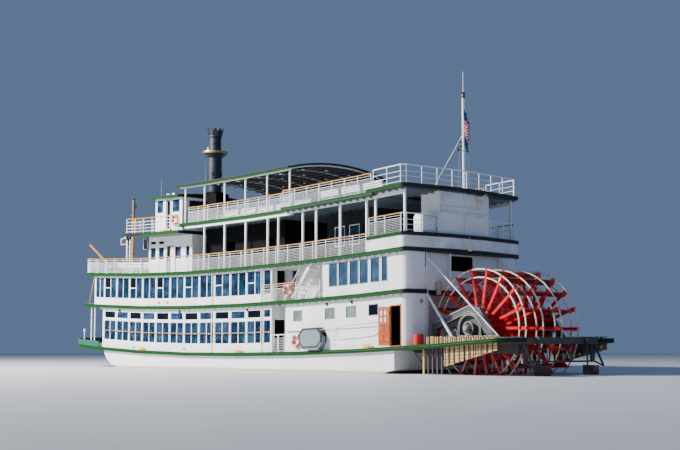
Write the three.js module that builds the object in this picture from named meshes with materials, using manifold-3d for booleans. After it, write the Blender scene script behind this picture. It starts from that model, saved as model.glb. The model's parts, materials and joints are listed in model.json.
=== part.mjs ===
// Four-deck excursion sternwheeler, modelled at half size.
// The numbers below are full-size metres in the ship's frame: X forward from the transom,
// Y to port, Z up from the waterline.

import * as THREE from 'three';
import { mergeVertices } from 'three/addons/utils/BufferGeometryUtils.js';
import Module from 'manifold-3d';

const wasm = await Module();
wasm.setup();

const MM_PER_METRE = 500;
// Seam between pieces that touch, and running room round a shaft or a stock
const GAP = 0.3 / MM_PER_METRE;
const RUN = 0.8 / MM_PER_METRE;

// Driving sizes of the ship
const DRAFT = 1.1;
const SIDE = 5.2;
const HULL_SIDE = 5.0;
const AFT_END = -8.3;
const BOW_TIP = 37.9;
const ORIGIN_X = 14.5;
const EDGE = 0.24;
const WALL = 0.1;

// Middle heights of the deck edges, at the lowest point of the sheer
const DECK = { one: 1.03, two: 4.3, three: 6.74, threeAft: 7.63, bridge: 9.8, four: 10.32, fourAft: 10.46 };
const ROOF_EDGE = 13.24;
const ROOF_CROWN = 0.59;

// Sheer: how far the decks rise towards the ends, bent at these stations only
const SHEER = { lowest: 18, forward: 0.0019, aft: 0.0013 };
const STATIONS = [-9, -3, 3, 9, 15, 21, 27, 33, 39];

// Deck plans: bow tip, where the bow's ellipse starts, side, stern corner, corner radius, stern belly
const PLAN = {
  two: { tip: 37.0, shoulder: 34.6, side: SIDE, stern: -0.85, corner: 0.25, belly: 0.35 },
  three: { tip: 36.7, shoulder: 34.4, side: SIDE, stern: -0.85, corner: 0.25, belly: 0.35 },
};

// Houses: side planes and ends
const HOUSE_SIDE = 4.95;
const CABIN_1 = { aft: 11.55, front: 32.5 };
const ENGINE_HOUSE = { aft: -0.85, front: 10.15, corner: 0.85 };
const CABIN_2 = { aft: 11.55, front: 33.8 };
const AFT_HOUSE = { front: 6.55 };
const RECESS_SIDE = 3.6;
// Recess in the stern for the wheel: its side, and its forward wall below and above deck two
const WELL = { side: 3.45, front: 0.2, upper: -0.65 };
// Window bays that both passenger cabins share, and a narrow window aft of them
const BAYS = { aft: 12.45, pitch: 1.81, count: 11, mullion: 0.15, narrow: [11.68, 12.42] };
const TEXAS = { aft: 22.65, front: 28.4, side: 3.5 };
const PILOTHOUSE = { aft: 25.3, front: 28.9, side: 2.6, top: 12.72 };
const BRIDGE = { aft: 22.4, front: 29.6, side: 4.9 };
const CENTRE_CABIN = { aft: 4.6, front: 9.6, side: 2.3, corner: 0.8 };
const SERVICE_BLOCK = { aft: 13.0, front: 22.0, side: 2.7 };
const DECK_4 = { front: 23.25, railFront: 21.9, step: 10.4, side: 4.4, raised: 1.9 };
const RAIL_POST_PITCH = 4.4;

// Paddle wheel and what carries it
const WHEEL = { x: -4.0, z: 2.6, radius: 3.43, arms: 18, half: 2.25 };
const TIMBER = { inner: 2.9, outer: 3.4, brace: 3.3, bottom: 1.2, top: 2.1, aft: -7.66 };
const SHAFT_RADIUS = 0.16;

// Rudders: where their stocks stand
const RUDDER = { x: 1.6, y: 2.6, front: 0.75, aft: 1.2, top: -0.47, bottom: -0.97 };
const MONKEY = { x: -8.12, y: 2.15, front: 0.3, aft: 0.75, top: 0.55, bottom: -0.9 };
const RAKE_START = 6.5;

const paint = (color, roughness, metalness = 0) =>
  new THREE.MeshStandardMaterial({ color, roughness, metalness });
const WHITE = paint(0xf2f2ee, 0.55);
const GREEN = paint(0x2c9a45, 0.55);
const TEAL = paint(0x1f6b58, 0.6);
const RED = paint(0xc92222, 0.55);
const CREAM = paint(0xe0cfa0, 0.6);
const BLACK = paint(0x17181a, 0.6);
const GREY = paint(0x6f7d82, 0.6);
const STEEL = paint(0x5a5d60, 0.5, 0.5);
const ORANGE = paint(0xd2621c, 0.5);
const WOOD = paint(0xb9854a, 0.7);

// Solids are made of three.js geometries and joined or cut as closed meshes.

function solid(geometry) {
  const bare = geometry.clone();
  bare.deleteAttribute('normal');
  bare.deleteAttribute('uv');
  const merged = mergeVertices(bare, 1e-5);
  const index = merged.index.array;
  const kept = [];
  for (let i = 0; i < index.length; i += 3) {
    const [a, b, c] = [index[i], index[i + 1], index[i + 2]];
    if (a !== b && b !== c && a !== c) kept.push(a, b, c);
  }
  return new wasm.Manifold(new wasm.Mesh({
    numProp: 3,
    vertProperties: new Float32Array(merged.attributes.position.array),
    triVerts: new Uint32Array(kept),
  }));
}

const join = (...solids) => wasm.Manifold.union(solids.flat(Infinity));
const cut = (body, ...tools) => body.subtract(join(tools));
const mirrored = (body) => body.mirror([0, 1, 0]);
const bothSides = (body) => join(body, mirrored(body));

function box([x0, x1], [y0, y1], [z0, z1]) {
  const geometry = new THREE.BoxGeometry(x1 - x0, y1 - y0, z1 - z0);
  return solid(geometry.translate((x0 + x1) / 2, (y0 + y1) / 2, (z0 + z1) / 2));
}

// A plan of [x, y] points, extruded upwards
function prism(points, [z0, z1]) {
  const shape = new THREE.Shape(points.map(([x, y]) => new THREE.Vector2(x, y)));
  const geometry = new THREE.ExtrudeGeometry(shape, { depth: z1 - z0, bevelEnabled: false });
  return solid(geometry.translate(0, 0, z0));
}

// A side profile of [x, z] points, extruded across from y0 to y1
function profile(points, [y0, y1]) {
  const shape = new THREE.Shape(points.map(([x, z]) => new THREE.Vector2(x, z)));
  const geometry = new THREE.ExtrudeGeometry(shape, { depth: y1 - y0, bevelEnabled: false });
  return solid(geometry.rotateX(Math.PI / 2).translate(0, y1, 0));
}

// A round or square bar from one point to another
function bar(from, to, radius, sides = 8) {
  const start = new THREE.Vector3(...from);
  const way = new THREE.Vector3(...to).sub(start);
  const geometry = new THREE.CylinderGeometry(radius, radius, way.length(), sides);
  if (sides === 4) geometry.rotateY(Math.PI / 4);
  geometry.translate(0, way.length() / 2, 0);
  const turn = new THREE.Quaternion().setFromUnitVectors(new THREE.Vector3(0, 1, 0), way.normalize());
  return solid(geometry.applyQuaternion(turn).translate(...from));
}

// A turned form about a vertical axis, from [radius, z] points on or closed at the axis
function turned(points, x, y, segments = 24) {
  const geometry = new THREE.LatheGeometry(points.map(([r, z]) => new THREE.Vector2(r, z)), segments);
  return solid(geometry.rotateX(Math.PI / 2).translate(x, y, 0));
}

// A cylinder or ring whose axis is across the ship
function disc(x, z, [y0, y1], radius, hole = 0, sides = 36) {
  const outline = new THREE.Shape();
  outline.absarc(0, 0, radius, 0, 2 * Math.PI);
  if (hole) outline.holes.push(new THREE.Path().absarc(0, 0, hole, 0, 2 * Math.PI));
  const options = { depth: y1 - y0, bevelEnabled: false, curveSegments: sides / 2 };
  const geometry = new THREE.ExtrudeGeometry(outline, options);
  return solid(geometry.rotateX(Math.PI / 2).translate(x, y1, z));
}

const rise = (x) => (x > SHEER.lowest ? SHEER.forward : SHEER.aft) * (x - SHEER.lowest) ** 2;

function sheer(x) {
  const next = Math.max(1, STATIONS.findIndex((station) => station >= x));
  const [from, to] = [STATIONS[next - 1], STATIONS[next]];
  return THREE.MathUtils.mapLinear(x, from, to, rise(from), rise(to));
}

// The share of the sheer that a point takes: all of it on the decks and houses, less down the hull
const wholeSheer = () => 1;
const hullSheer = (z) => THREE.MathUtils.clamp((z + DRAFT) / (DECK.one - EDGE / 2 + DRAFT), 0, 1);

// A solid is parted at the stations, each bay is slanted by the sheer, and the bays are joined again
function bent(body, share) {
  const bays = [];
  let rest = body;
  for (const station of STATIONS) {
    const [ahead, behind] = rest.splitByPlane([1, 0, 0], station);
    if (!behind.isEmpty()) bays.push(behind);
    rest = ahead;
    if (rest.isEmpty()) break;
  }
  return join(bays.map((bay) => bay.warp((point) => {
    const near = STATIONS.find((station) => Math.abs(station - point[0]) < 1e-6);
    if (near !== undefined) point[0] = near;
    point[2] += share(point[2]) * sheer(point[0]);
  })));
}

function facesOf(body) {
  const mesh = body.getMesh();
  const geometry = new THREE.BufferGeometry();
  geometry.setAttribute('position', new THREE.Float32BufferAttribute(mesh.vertProperties, 3));
  geometry.setIndex([...mesh.triVerts]);
  geometry.scale(MM_PER_METRE, MM_PER_METRE, MM_PER_METRE);
  geometry.computeVertexNormals();
  return geometry;
}

const ship = new THREE.Group();
ship.position.set(-ORIGIN_X * MM_PER_METRE, 0, DRAFT * MM_PER_METRE);

function piece(name, body, material, share = null) {
  const mesh = new THREE.Mesh(facesOf(share ? bent(body, share) : body), material);
  mesh.name = name;
  ship.add(mesh);
}

// A piece on the sheered decks, and its twin on the other side
const onDeck = (name, body, material) => piece(name, body, material, wholeSheer);

function pair(name, body, material, share = wholeSheer) {
  piece(`${name}_port`, body, material, share);
  piece(`${name}_starboard`, mirrored(body), material, share);
}

// Heights of a deck's walking surface and of its underside
const top = (level) => level + EDGE / 2;
const under = (level) => level - EDGE / 2;
const slab = (level) => [under(level), top(level)];
const between = (low, high) => [top(low) + GAP, under(high) - GAP];

// The port half of a deck's edge from the bow tip aft: a half ellipse, the side and the stern corner
function deckOutline({ tip, shoulder, side, stern, corner, belly }) {
  const arc = (count, x, y, reachX, reachY, from, to) => Array.from({ length: count + 1 }, (_, i) => {
    const turn = THREE.MathUtils.mapLinear(i, 0, count, from, to);
    return [x + reachX * Math.cos(turn), y + reachY * Math.sin(turn)];
  });
  const port = [
    ...arc(8, shoulder, 0, tip - shoulder, side, 0, Math.PI / 2),
    ...arc(4, stern + corner, side - corner, corner, corner, Math.PI / 2, Math.PI),
  ];
  const starboard = port.slice(1).reverse().map(([x, y]) => [x, -y]);
  return belly ? [...port, [stern - belly, side * 0.3], [stern - belly, -side * 0.3], ...starboard]
    : [...port, ...starboard];
}

// Corner points [x, y, radius] become a list of points with each corner rounded
function rounded(corners, steps = 5) {
  return corners.flatMap(([x, y, radius = 0], i) => {
    if (!radius || i === 0 || i === corners.length - 1) return [[x, y]];
    const here = new THREE.Vector2(x, y);
    const back = new THREE.Vector2(...corners[i - 1].slice(0, 2)).sub(here).normalize();
    const ahead = new THREE.Vector2(...corners[i + 1].slice(0, 2)).sub(here).normalize();
    const start = here.clone().addScaledVector(back, radius);
    const end = here.clone().addScaledVector(ahead, radius);
    const centre = start.clone().add(end).sub(here);
    return Array.from({ length: steps + 1 }, (_, step) => {
      const turn = (step / steps) * (Math.PI / 2);
      const out = start.clone().sub(centre).multiplyScalar(Math.cos(turn));
      const point = centre.clone().add(out).addScaledVector(end.clone().sub(centre), Math.sin(turn));
      return [point.x, point.y];
    });
  });
}

// The port half of a house: right-angled wall line from centre to centre, inside on its left
function halfHouse(corners, heights, seam = GAP / 2) {
  const inner = corners.map(([x, y, radius = 0], i) => {
    const before = corners[Math.max(i - 1, 0)];
    const after = corners[Math.min(i + 1, corners.length - 1)];
    const into = [Math.sign(x - before[0]), Math.sign(y - before[1])];
    const away = [Math.sign(after[0] - x), Math.sign(after[1] - y)];
    const shiftX = -(into[1] || away[1]) * WALL;
    const shiftY = (into[0] || away[0]) * WALL;
    const left = into[0] * away[1] - into[1] * away[0] > 0;
    return [x + shiftX, y === 0 ? 0 : y + shiftY, radius && (left ? radius - WALL : radius + WALL)];
  });
  const ring = [...rounded(corners), ...rounded(inner).reverse()];
  return prism(ring, heights).trimByPlane([0, 1, 0], seam);
}

// Boxes that cut openings through a side wall, from rows of [aft x, forward x, low z, high z]
function sideCuts(rows, y, depth = 0.3) {
  return rows.map(([x0, x1, z0, z1]) => box([x0, x1], [y - depth, y + depth], [z0, z1]));
}

// The window bays of a passenger cabin and the narrow window aft of them, as rows for sideCuts
function windowRow([low, high], mullion = BAYS.mullion) {
  const { aft, pitch, count, narrow } = BAYS;
  const bays = Array.from({ length: count }, (_, i) => {
    const start = aft + i * pitch + mullion / 2;
    return [start, start + pitch - mullion, low, high];
  });
  return [...bays, [...narrow, low, high]];
}

// Boxes that cut openings through an end wall: from each y, this wide
const endCuts = (starts, width, x, heights) =>
  starts.map((y) => box([x - 0.3, x + 0.3], [y, y + width], heights));

// Hull: a decked scow with a raked bow plate and a stern that rises to the transom

function hull() {
  const deckLine = under(DECK.one) - GAP;
  const side = profile([
    [WELL.front, deckLine], [WELL.front, 0], [RAKE_START, -DRAFT], [27.0, -DRAFT], [28.4, -0.75],
    [29.4, -0.35], [30.3, -0.12], [31.14, 0.06], [31.8, 0.42], [32.25, deckLine],
  ], [-HULL_SIDE, HULL_SIDE]);
  const front = 32.25;
  const corner = 0.2;
  const plan = prism(rounded([
    [-1, -HULL_SIDE], [front, -HULL_SIDE, corner], [front, HULL_SIDE, corner], [-1, HULL_SIDE],
  ]), [-2, 3]);
  const bores = [1, -1].map((hand) =>
    bar([RUDDER.x, hand * RUDDER.y, -2], [RUDDER.x, hand * RUDDER.y, 0.4], 0.07 + RUN, 16));
  return cut(side.intersect(plan), bores);
}
piece('hull', hull(), WHITE, hullSheer);

// Main deck, with a side deck along each side of the wheel

function mainDeck() {
  const plan = deckOutline({
    tip: BOW_TIP, shoulder: 35.4, side: SIDE, stern: AFT_END, corner: 1.0, belly: 0,
  });
  const well = box([AFT_END - 1, WELL.front], [-TIMBER.outer - GAP, TIMBER.outer + GAP], [0, 3]);
  return cut(prism(plan, slab(DECK.one)), well);
}
onDeck('main_deck', mainDeck(), GREEN);

function bulwark() {
  const rim = { tip: BOW_TIP, shoulder: 35.4, side: SIDE, stern: AFT_END, corner: 1.0, belly: 0 };
  const inner = { ...rim, tip: rim.tip - WALL, side: rim.side - WALL };
  const heights = [top(DECK.one) + GAP, top(DECK.one) + 0.42];
  const ring = prism(deckOutline(rim), heights).subtract(prism(deckOutline(inner), heights));
  return ring.trimByPlane([1, 0, 0], 32.7);
}
onDeck('bow_bulwark', bulwark(), TEAL);

// Houses, in port halves

function cabinOne() {
  const heights = between(DECK.one, DECK.two);
  const { aft, front } = CABIN_1;
  const walls = halfHouse([[front, 0], [front, HOUSE_SIDE], [aft, HOUSE_SIDE], [aft, 0]], heights);
  const low = top(DECK.one);
  const doorway = [low + 0.1, low + 2.1];
  return cut(
    walls,
    sideCuts(windowRow([low + 0.58, low + 2.1]), HOUSE_SIDE),
    sideCuts(windowRow([low + 2.25, low + 2.8], 0.3), HOUSE_SIDE),
    endCuts([1.6, 3.3], 1.3, front, [low + 0.9, low + 2.1]),
    endCuts([-1], 1.8, front, doorway),
    endCuts([3.8], 0.93, aft, doorway),
  );
}
pair('cabin_1', cabinOne(), WHITE);

const ENGINE_WINDOWS = [[8.48, 9.36], [5.39, 6.31], [3.46, 4.38], [1.54, 2.4]];
const ENGINE_DOOR = { aft: -0.28, front: 0.55, sill: 0.06, head: 2.35 };

function engineHouse() {
  const heights = between(DECK.one, DECK.two);
  const { aft, front, corner } = ENGINE_HOUSE;
  const walls = halfHouse([
    [front, 0], [front, HOUSE_SIDE], [aft, HOUSE_SIDE, corner - 0.3],
    [aft, WELL.side], [WELL.front, WELL.side], [WELL.front, 0],
  ], heights);
  const low = top(DECK.one);
  const doorway = [ENGINE_DOOR.aft, ENGINE_DOOR.front, low + ENGINE_DOOR.sill, low + ENGINE_DOOR.head];
  return cut(
    walls,
    sideCuts(ENGINE_WINDOWS.map(([x0, x1]) => [x0, x1, low + 1.9, low + 2.6]), HOUSE_SIDE),
    sideCuts([doorway], HOUSE_SIDE),
    endCuts([1.2], 1.0, front, [low + 0.1, low + 2.1]),
  );
}
pair('engine_house', engineHouse(), WHITE);

// Cabin on deck two: window house, then a recessed wall along the side landing
function cabinTwo() {
  const heights = between(DECK.two, DECK.three);
  const { aft, front } = CABIN_2;
  const end = AFT_HOUSE.front + GAP;
  const walls = halfHouse([
    [front, 0], [front, HOUSE_SIDE], [aft, HOUSE_SIDE], [aft, RECESS_SIDE], [end, RECESS_SIDE], [end, 0],
  ], heights).trimByPlane([1, 0, 0], end + WALL * 0.4);
  const low = top(DECK.two);
  const doorway = [low + 0.06, low + 2.05];
  return cut(
    walls,
    sideCuts(windowRow([low + 0.52, low + 2.12]), HOUSE_SIDE),
    sideCuts([[32.42, 33.65, low + 0.52, low + 2.12]], HOUSE_SIDE),
    sideCuts([[10.48, 11.12, ...doorway]], RECESS_SIDE),
    endCuts([3.78], 0.74, aft, doorway),
    endCuts([0.25, 1.85, 3.45], 1.35, front, [low + 0.72, low + 2.1]),
  );
}
pair('cabin_2', cabinTwo(), WHITE);

const AFT_WINDOWS = [[5.15, 5.94], [4.2, 5.06], [3.26, 4.06], [2.42, 3.17], [1.44, 2.21], [0.77, 1.27]];

function aftHouse() {
  const heights = between(DECK.two, DECK.three);
  const walls = halfHouse([
    [AFT_HOUSE.front, 0], [AFT_HOUSE.front, HOUSE_SIDE],
    [ENGINE_HOUSE.aft, HOUSE_SIDE, ENGINE_HOUSE.corner - 0.4],
    [ENGINE_HOUSE.aft, WELL.side], [WELL.upper, WELL.side], [WELL.upper, 0],
  ], heights);
  const low = top(DECK.two);
  return cut(
    walls,
    sideCuts(AFT_WINDOWS.map(([x0, x1]) => [x0, x1, low + 0.6, low + 2.05]), HOUSE_SIDE),
    endCuts([-1], 2.0, WELL.upper, [low + 1.2, low + 2.1]),
    endCuts([-1], 1.5, AFT_HOUSE.front, [low + 0.1, low + 2.05]),
  );
}
pair('aft_house', aftHouse(), WHITE);

// Decks two and three

function deckTwo() {
  const recess = box([-3, WELL.upper], [-WELL.side, WELL.side], [0, 9]);
  return cut(prism(deckOutline(PLAN.two), slab(DECK.two)), recess);
}
onDeck('deck_2', deckTwo(), GREEN);

// The bow boom's heel turns between two cheeks on deck three
const BOOM = { x: 34.0, y: 3.2, reach: 3.6, rise: 2.2, pivot: 0.34, radius: 0.105, pin: 0.03 };

function deckThree() {
  const { x, y } = BOOM;
  const low = top(DECK.three) - 0.05;
  const cheeks = [y - 0.2, y + 0.12].map((side) =>
    box([x - 0.15, x + 0.15], [side, side + 0.08], [low, low + 0.55]));
  const pivot = top(DECK.three) + BOOM.pivot;
  const bore = bar([x, y - 0.3, pivot], [x, y + 0.3, pivot], BOOM.pin + RUN, 16);
  return join(prism(deckOutline(PLAN.three), slab(DECK.three)), cheeks).subtract(bore);
}
onDeck('deck_3', deckThree(), GREEN);

// Raised after part of deck three: a tray on its side walls
function deckThreeAft() {
  const front = box([2.3, 50], [-9, 9], [0, 20]);
  const inner = { ...PLAN.three, side: SIDE - WALL, stern: PLAN.three.stern + WALL };
  const floor = cut(prism(deckOutline(PLAN.three), slab(DECK.threeAft)), front);
  const heights = [top(DECK.three) + GAP, top(DECK.threeAft) - 0.05];
  const ring = prism(deckOutline(PLAN.three), heights).subtract(prism(deckOutline(inner), heights));
  const riser = box([2.2, 2.3], [-SIDE, SIDE], heights);
  return join(floor, cut(ring, front), riser);
}
onDeck('deck_3_aft', deckThreeAft(), WHITE);

// Crew cabin on deck three, the bridge deck above it and the pilothouse

function texas() {
  const { aft, front, side } = TEXAS;
  const low = top(DECK.three);
  const line = [[front, 0], [front, side], [aft, side], [aft, 0]];
  const walls = halfHouse(line, between(DECK.three, DECK.bridge));
  const openings = [
    [27.4, 28.18, 1.04, 2.04], [27.4, 28.18, 2.22, 2.52], [26.3, 27.08, 1.04, 2.04],
    [26.3, 27.08, 2.22, 2.52], [25.25, 25.92, 0.06, 2.08], [24.05, 24.85, 1.04, 2.04],
    [22.95, 23.5, 1.04, 2.04],
  ];
  return cut(
    walls,
    sideCuts(openings.map(([x0, x1, z0, z1]) => [x0, x1, low + z0, low + z1]), side),
    endCuts([0.3, 1.9], 1.2, front, [low + 1.0, low + 2.2]),
  );
}
pair('texas_cabin', texas(), WHITE);

function bridgeDeck() {
  const { aft, front, side } = BRIDGE;
  const inset = side - 0.08;
  const posts = [29.38, 28.95].flatMap((x) => [inset, -inset].map((y) =>
    bar([x, y, top(DECK.three) + GAP], [x, y, DECK.bridge], 0.06)));
  return join(box([aft, front], [-side, side], slab(DECK.bridge)), posts);
}
onDeck('bridge_deck', bridgeDeck(), GREEN);

function pilothouse() {
  const { aft, front, side, top: eaves } = PILOTHOUSE;
  const low = top(DECK.bridge);
  const walls = halfHouse([[front, 0], [front, side], [aft, side], [aft, 0]], [low + GAP, eaves - GAP], 0);
  const openings = [[27.87, 28.67, 1.7, 2.68], [26.85, 27.42, 0.2, 2.68], [25.64, 26.6, 1.7, 2.7]];
  return cut(
    walls,
    sideCuts(openings.map(([x0, x1, z0, z1]) => [x0, x1, low + z0, low + z1]), side),
    endCuts([0.12, 1.3], 1.05, front, [low + 1.6, low + 2.65]),
    endCuts([0.5], 1.5, aft, [low + 1.65, low + 2.65]),
  );
}
onDeck('pilothouse', bothSides(pilothouse()), WHITE);

// Low arched roof, from half a section of [y, height above the eaves]
function pilothouseRoof() {
  const { aft, front, side, top: eaves } = PILOTHOUSE;
  const half = [[side + 0.4, 0], [side + 0.4, 0.15], [1.5, 0.32], [0, 0.38]];
  const other = half.slice(0, -1).reverse().map(([y, z]) => [-y, z]);
  return section([...half, ...other].map(([y, z]) => [y, eaves + z]), [aft, front + 0.5]);
}
onDeck('pilothouse_roof', pilothouseRoof(), GREEN);

// Deck four: narrow forward, full beam further aft, and a step up at the stern

function deckFour() {
  const { front, step, side, raised } = DECK_4;
  const wide = cut(prism(deckOutline(PLAN.three), slab(DECK.four)), box([step, 60], [-9, 9], [0, 20]));
  const narrow = box([step - 0.5, front], [-side, side], slab(DECK.four));
  const stern = cut(prism(deckOutline(PLAN.three), slab(DECK.fourAft)), box([raised, 60], [-9, 9], [0, 20]));
  return join(wide.trimByPlane([1, 0, 0], raised - 0.1), narrow, stern);
}
onDeck('deck_4', deckFour(), GREEN);

// Columns under deck four, with the header that joins them: the rows' sides and half a column's width
const COLUMN = { half: 0.06, narrow: 4.3, wide: 4.75, header: 0.16 };

function columns() {
  const { half, narrow, wide, header } = COLUMN;
  const feet = top(DECK.three) + GAP;
  const aftFeet = top(DECK.threeAft) + GAP;
  const head = under(DECK.four) - GAP;
  const aftHead = under(DECK.fourAft) - GAP;
  const about = (middle) => [middle - half, middle + half];
  const row = (places, y, heights) => places.map((x) => box(about(x), about(y), heights));
  const step = [DECK_4.step - 0.2, DECK_4.step];
  const level = [head - header, head];
  return join(
    row([20.0, 17.6, 15.2, 12.8, 11.68], narrow, [feet, head]),
    row([8.66, 7.36, 5.1, 2.73], wide, [feet, head]),
    row([1.95], wide, [aftFeet, head]),
    row([-0.5], wide, [aftFeet, aftHead]),
    box([step[0], BRIDGE.aft], about(narrow), level),
    box(step, [narrow - half, wide + half], level),
    box([DECK_4.raised - 0.2, step[1]], about(wide), level),
    box([-0.5 - half, DECK_4.raised - 0.1 - GAP], about(wide), [level[0], aftHead]),
  );
}
pair('deck_3_columns', columns(), WHITE);

// Central cabins on deck three, and the screen across the stern

function centreCabin() {
  const { aft, front, side, corner } = CENTRE_CABIN;
  const low = top(DECK.three);
  const line = [[front, 0], [front, side, corner], [aft, side], [aft, 0]];
  const walls = halfHouse(line, between(DECK.three, DECK.four), 0);
  const openings = [[7.4, 8.4, 1.0, 2.3], [6.0, 7.0, 1.0, 2.3], [4.9, 5.7, 0.06, 2.2]];
  return cut(walls, sideCuts(openings.map(([x0, x1, z0, z1]) => [x0, x1, low + z0, low + z1]), side));
}
onDeck('centre_cabin', bothSides(centreCabin()), WHITE);

function serviceBlock() {
  const { aft, front, side } = SERVICE_BLOCK;
  const line = [[front, 0], [front, side], [aft, side], [aft, 0]];
  const walls = halfHouse(line, between(DECK.three, DECK.four), 0);
  const doorway = [top(DECK.three) + 0.06, top(DECK.three) + 2.1];
  return cut(walls, sideCuts([[14.0, 15.0, ...doorway], [18.5, 19.5, ...doorway]], side));
}
onDeck('service_block', bothSides(serviceBlock()), BLACK);

function sternScreen() {
  const heights = [top(DECK.threeAft) + GAP, under(DECK.fourAft) - GAP];
  const screen = box([-0.85, -0.75], [-2.25, 2.25], heights);
  const returns = [2.2, -2.2].map((y) => box([-0.8, 0.6], [y - 0.05, y + 0.05], heights));
  return join(screen, returns);
}
onDeck('stern_screen', sternScreen(), WHITE);

// Awning roof over deck four, vaulted, on posts with arched beams that meet at the crown

const AWNING = {
  front: 23.36, half: 4.45, thick: 0.12, beam: 0.1, posts: 6, postY: 4.2, firstPost: 10.65, pitch: 2.38,
};

// A line across the vault, this deep below its upper face
function vaultLine(depth) {
  const { half } = AWNING;
  const radius = (half ** 2 + ROOF_CROWN ** 2) / (2 * ROOF_CROWN);
  const sweep = Math.asin(half / radius);
  const steps = 10;
  return Array.from({ length: steps + 1 }, (_, i) => {
    const turn = sweep * ((2 * i) / steps - 1);
    const size = radius - depth;
    return [size * Math.sin(turn), size * Math.cos(turn) - radius + ROOF_EDGE + ROOF_CROWN];
  });
}

// A section of [y, z] points, extruded along the ship from x0 to x1
function section(points, [x0, x1]) {
  const shape = new THREE.Shape(points.map(([y, z]) => new THREE.Vector2(y, z)));
  const geometry = new THREE.ExtrudeGeometry(shape, { depth: x1 - x0, bevelEnabled: false });
  return solid(geometry.rotateX(Math.PI / 2).rotateZ(Math.PI / 2).translate(x0, 0, 0));
}

const vault = (depth, thick, along) =>
  section([...vaultLine(depth), ...vaultLine(depth + thick).reverse()], along);

onDeck('awning_roof', vault(0, AWNING.thick, [DECK_4.step + 0.1, AWNING.front]), BLACK);

function awningFrame() {
  const { front, half, thick, beam, posts, postY: y, firstPost, pitch } = AWNING;
  const foot = top(DECK.four) + GAP;
  const seat = thick + GAP;
  const along = [10, 24];
  const places = Array.from({ length: posts }, (_, i) => firstPost + i * pitch);
  const uprights = places.map((x) => box([x - 0.045, x + 0.045], [y - 0.045, y + 0.045], [foot, ROOF_EDGE]));
  const rail = box([10.55, front - 0.1], [y - 0.05, y + 0.05], [ROOF_EDGE - 0.22, ROOF_EDGE]);
  const underRoof = section([...vaultLine(seat), [half, foot], [-half, foot]], along);
  const inside = box(along, [GAP / 2, y], [foot, ROOF_EDGE + ROOF_CROWN]);
  const beams = places.map((x) => vault(seat, beam, [x - 0.04, x + 0.04]).intersect(inside));
  return join(join(uprights, rail).intersect(underRoof), beams);
}
pair('awning_frame', awningFrame(), WHITE);

// Railings: a strip of wire panel and a handrail along a line of points, joined by posts

function strip(points, thickness, heights) {
  const sides = points.map(([x, y], i) => {
    const before = points[Math.max(i - 1, 0)];
    const after = points[Math.min(i + 1, points.length - 1)];
    const way = new THREE.Vector2(after[0] - before[0], after[1] - before[1]).setLength(thickness / 2);
    return [[x + way.y, y - way.x], [x - way.y, y + way.x]];
  });
  return prism([...sides.map(([right]) => right), ...sides.map(([, left]) => left).reverse()], heights);
}

function railing(points, level, height, panel = [0.08, 0.86]) {
  const foot = top(level) + GAP;
  const curve = new THREE.CurvePath();
  for (let i = 1; i < points.length; i++) {
    curve.add(new THREE.LineCurve(new THREE.Vector2(...points[i - 1]), new THREE.Vector2(...points[i])));
  }
  const count = Math.max(1, Math.round(curve.getLength() / RAIL_POST_PITCH));
  const posts = Array.from({ length: count + 1 }, (_, i) => {
    const { x, y } = curve.getPointAt(i / count);
    return box([x - 0.03, x + 0.03], [y - 0.03, y + 0.03], [foot, foot + height - 0.02]);
  });
  return join(
    strip(points, 0.02, panel.map((z) => foot + z)),
    strip(points, 0.05, [foot + height - 0.05, foot + height]),
    posts,
  );
}

// The line of a deck's railing, a little inside the deck's edge, between two x places on each side
function railLine({ tip, shoulder, side }, aft, inset = 0.12) {
  const bow = Array.from({ length: 13 }, (_, i) => {
    const turn = Math.PI / 2 - (Math.PI * i) / 12;
    return [shoulder + (tip - inset - shoulder) * Math.cos(turn), (side - inset) * Math.sin(turn)];
  });
  return [[aft, side - inset], ...bow, [aft, inset - side]];
}

function sternLine({ side, stern, belly }, front, inset = 0.12) {
  const y = side - inset;
  return [
    [front, y], [stern + 0.35, y], [stern + inset, y - 0.23], [stern + inset - belly, 0],
    [stern + inset, 0.23 - y], [stern + 0.35, -y], [front, -y],
  ];
}

onDeck('deck_3_rail', railing(railLine(PLAN.three, 2.4), DECK.three, 1.12), WHITE);
onDeck('deck_3_aft_rail', railing(sternLine(PLAN.three, 2.2), DECK.threeAft, 1.12), WHITE);
onDeck('deck_4_stern_rail', railing(sternLine(PLAN.three, 1.8), DECK.fourAft, 1.12), WHITE);

function deckFourRail() {
  const { railFront: far, step, side } = DECK_4;
  const out = SIDE - 0.12;
  const [near, narrow] = [step - 0.12, side - 0.06];
  return railing([
    [2.0, out], [near, out], [near, narrow], [far, narrow],
    [far, -narrow], [near, -narrow], [near, -out], [2.0, -out],
  ], DECK.four, 1.12);
}
onDeck('deck_4_rail', deckFourRail(), WHITE);

function bridgeRail() {
  const { aft, front, side } = BRIDGE;
  const [start, x, y] = [aft + 0.1, front - 0.1, side - 0.1];
  return railing([[start, y], [x, y], [x, -y], [start, -y]], DECK.bridge, 1.12, [0.5, 0.56]);
}
onDeck('bridge_rail', bridgeRail(), WHITE);

// Side landings on deck two: railing, with the open stair up to deck three
function landing() {
  const line = SIDE - 0.12;
  const rail = railing([[AFT_HOUSE.front + 0.1, line], [12.4, line]], DECK.two, 1.1);
  const foot = top(DECK.two) + GAP;
  const head = under(DECK.three) - GAP;
  const treads = Array.from({ length: 8 }, (_, i) => {
    const share = (i + 0.5) / 8;
    const [x, z] = [9.55 - 1.75 * share, foot + (head - foot) * share];
    return box([x - 0.14, x + 0.14], [4.1, 4.9], [z, z + 0.05]);
  });
  const stringers = [4.08, 4.88].map((y) => profile([
    [9.75, foot], [9.45, foot], [7.6, head], [7.9, head],
  ], [y, y + 0.06]));
  const tie = box([9.45, 9.6], [4.9, line], [foot + 0.02, foot + 0.1]);
  return join(rail, treads, stringers, tie);
}
pair('side_landing', landing(), WHITE);

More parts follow.
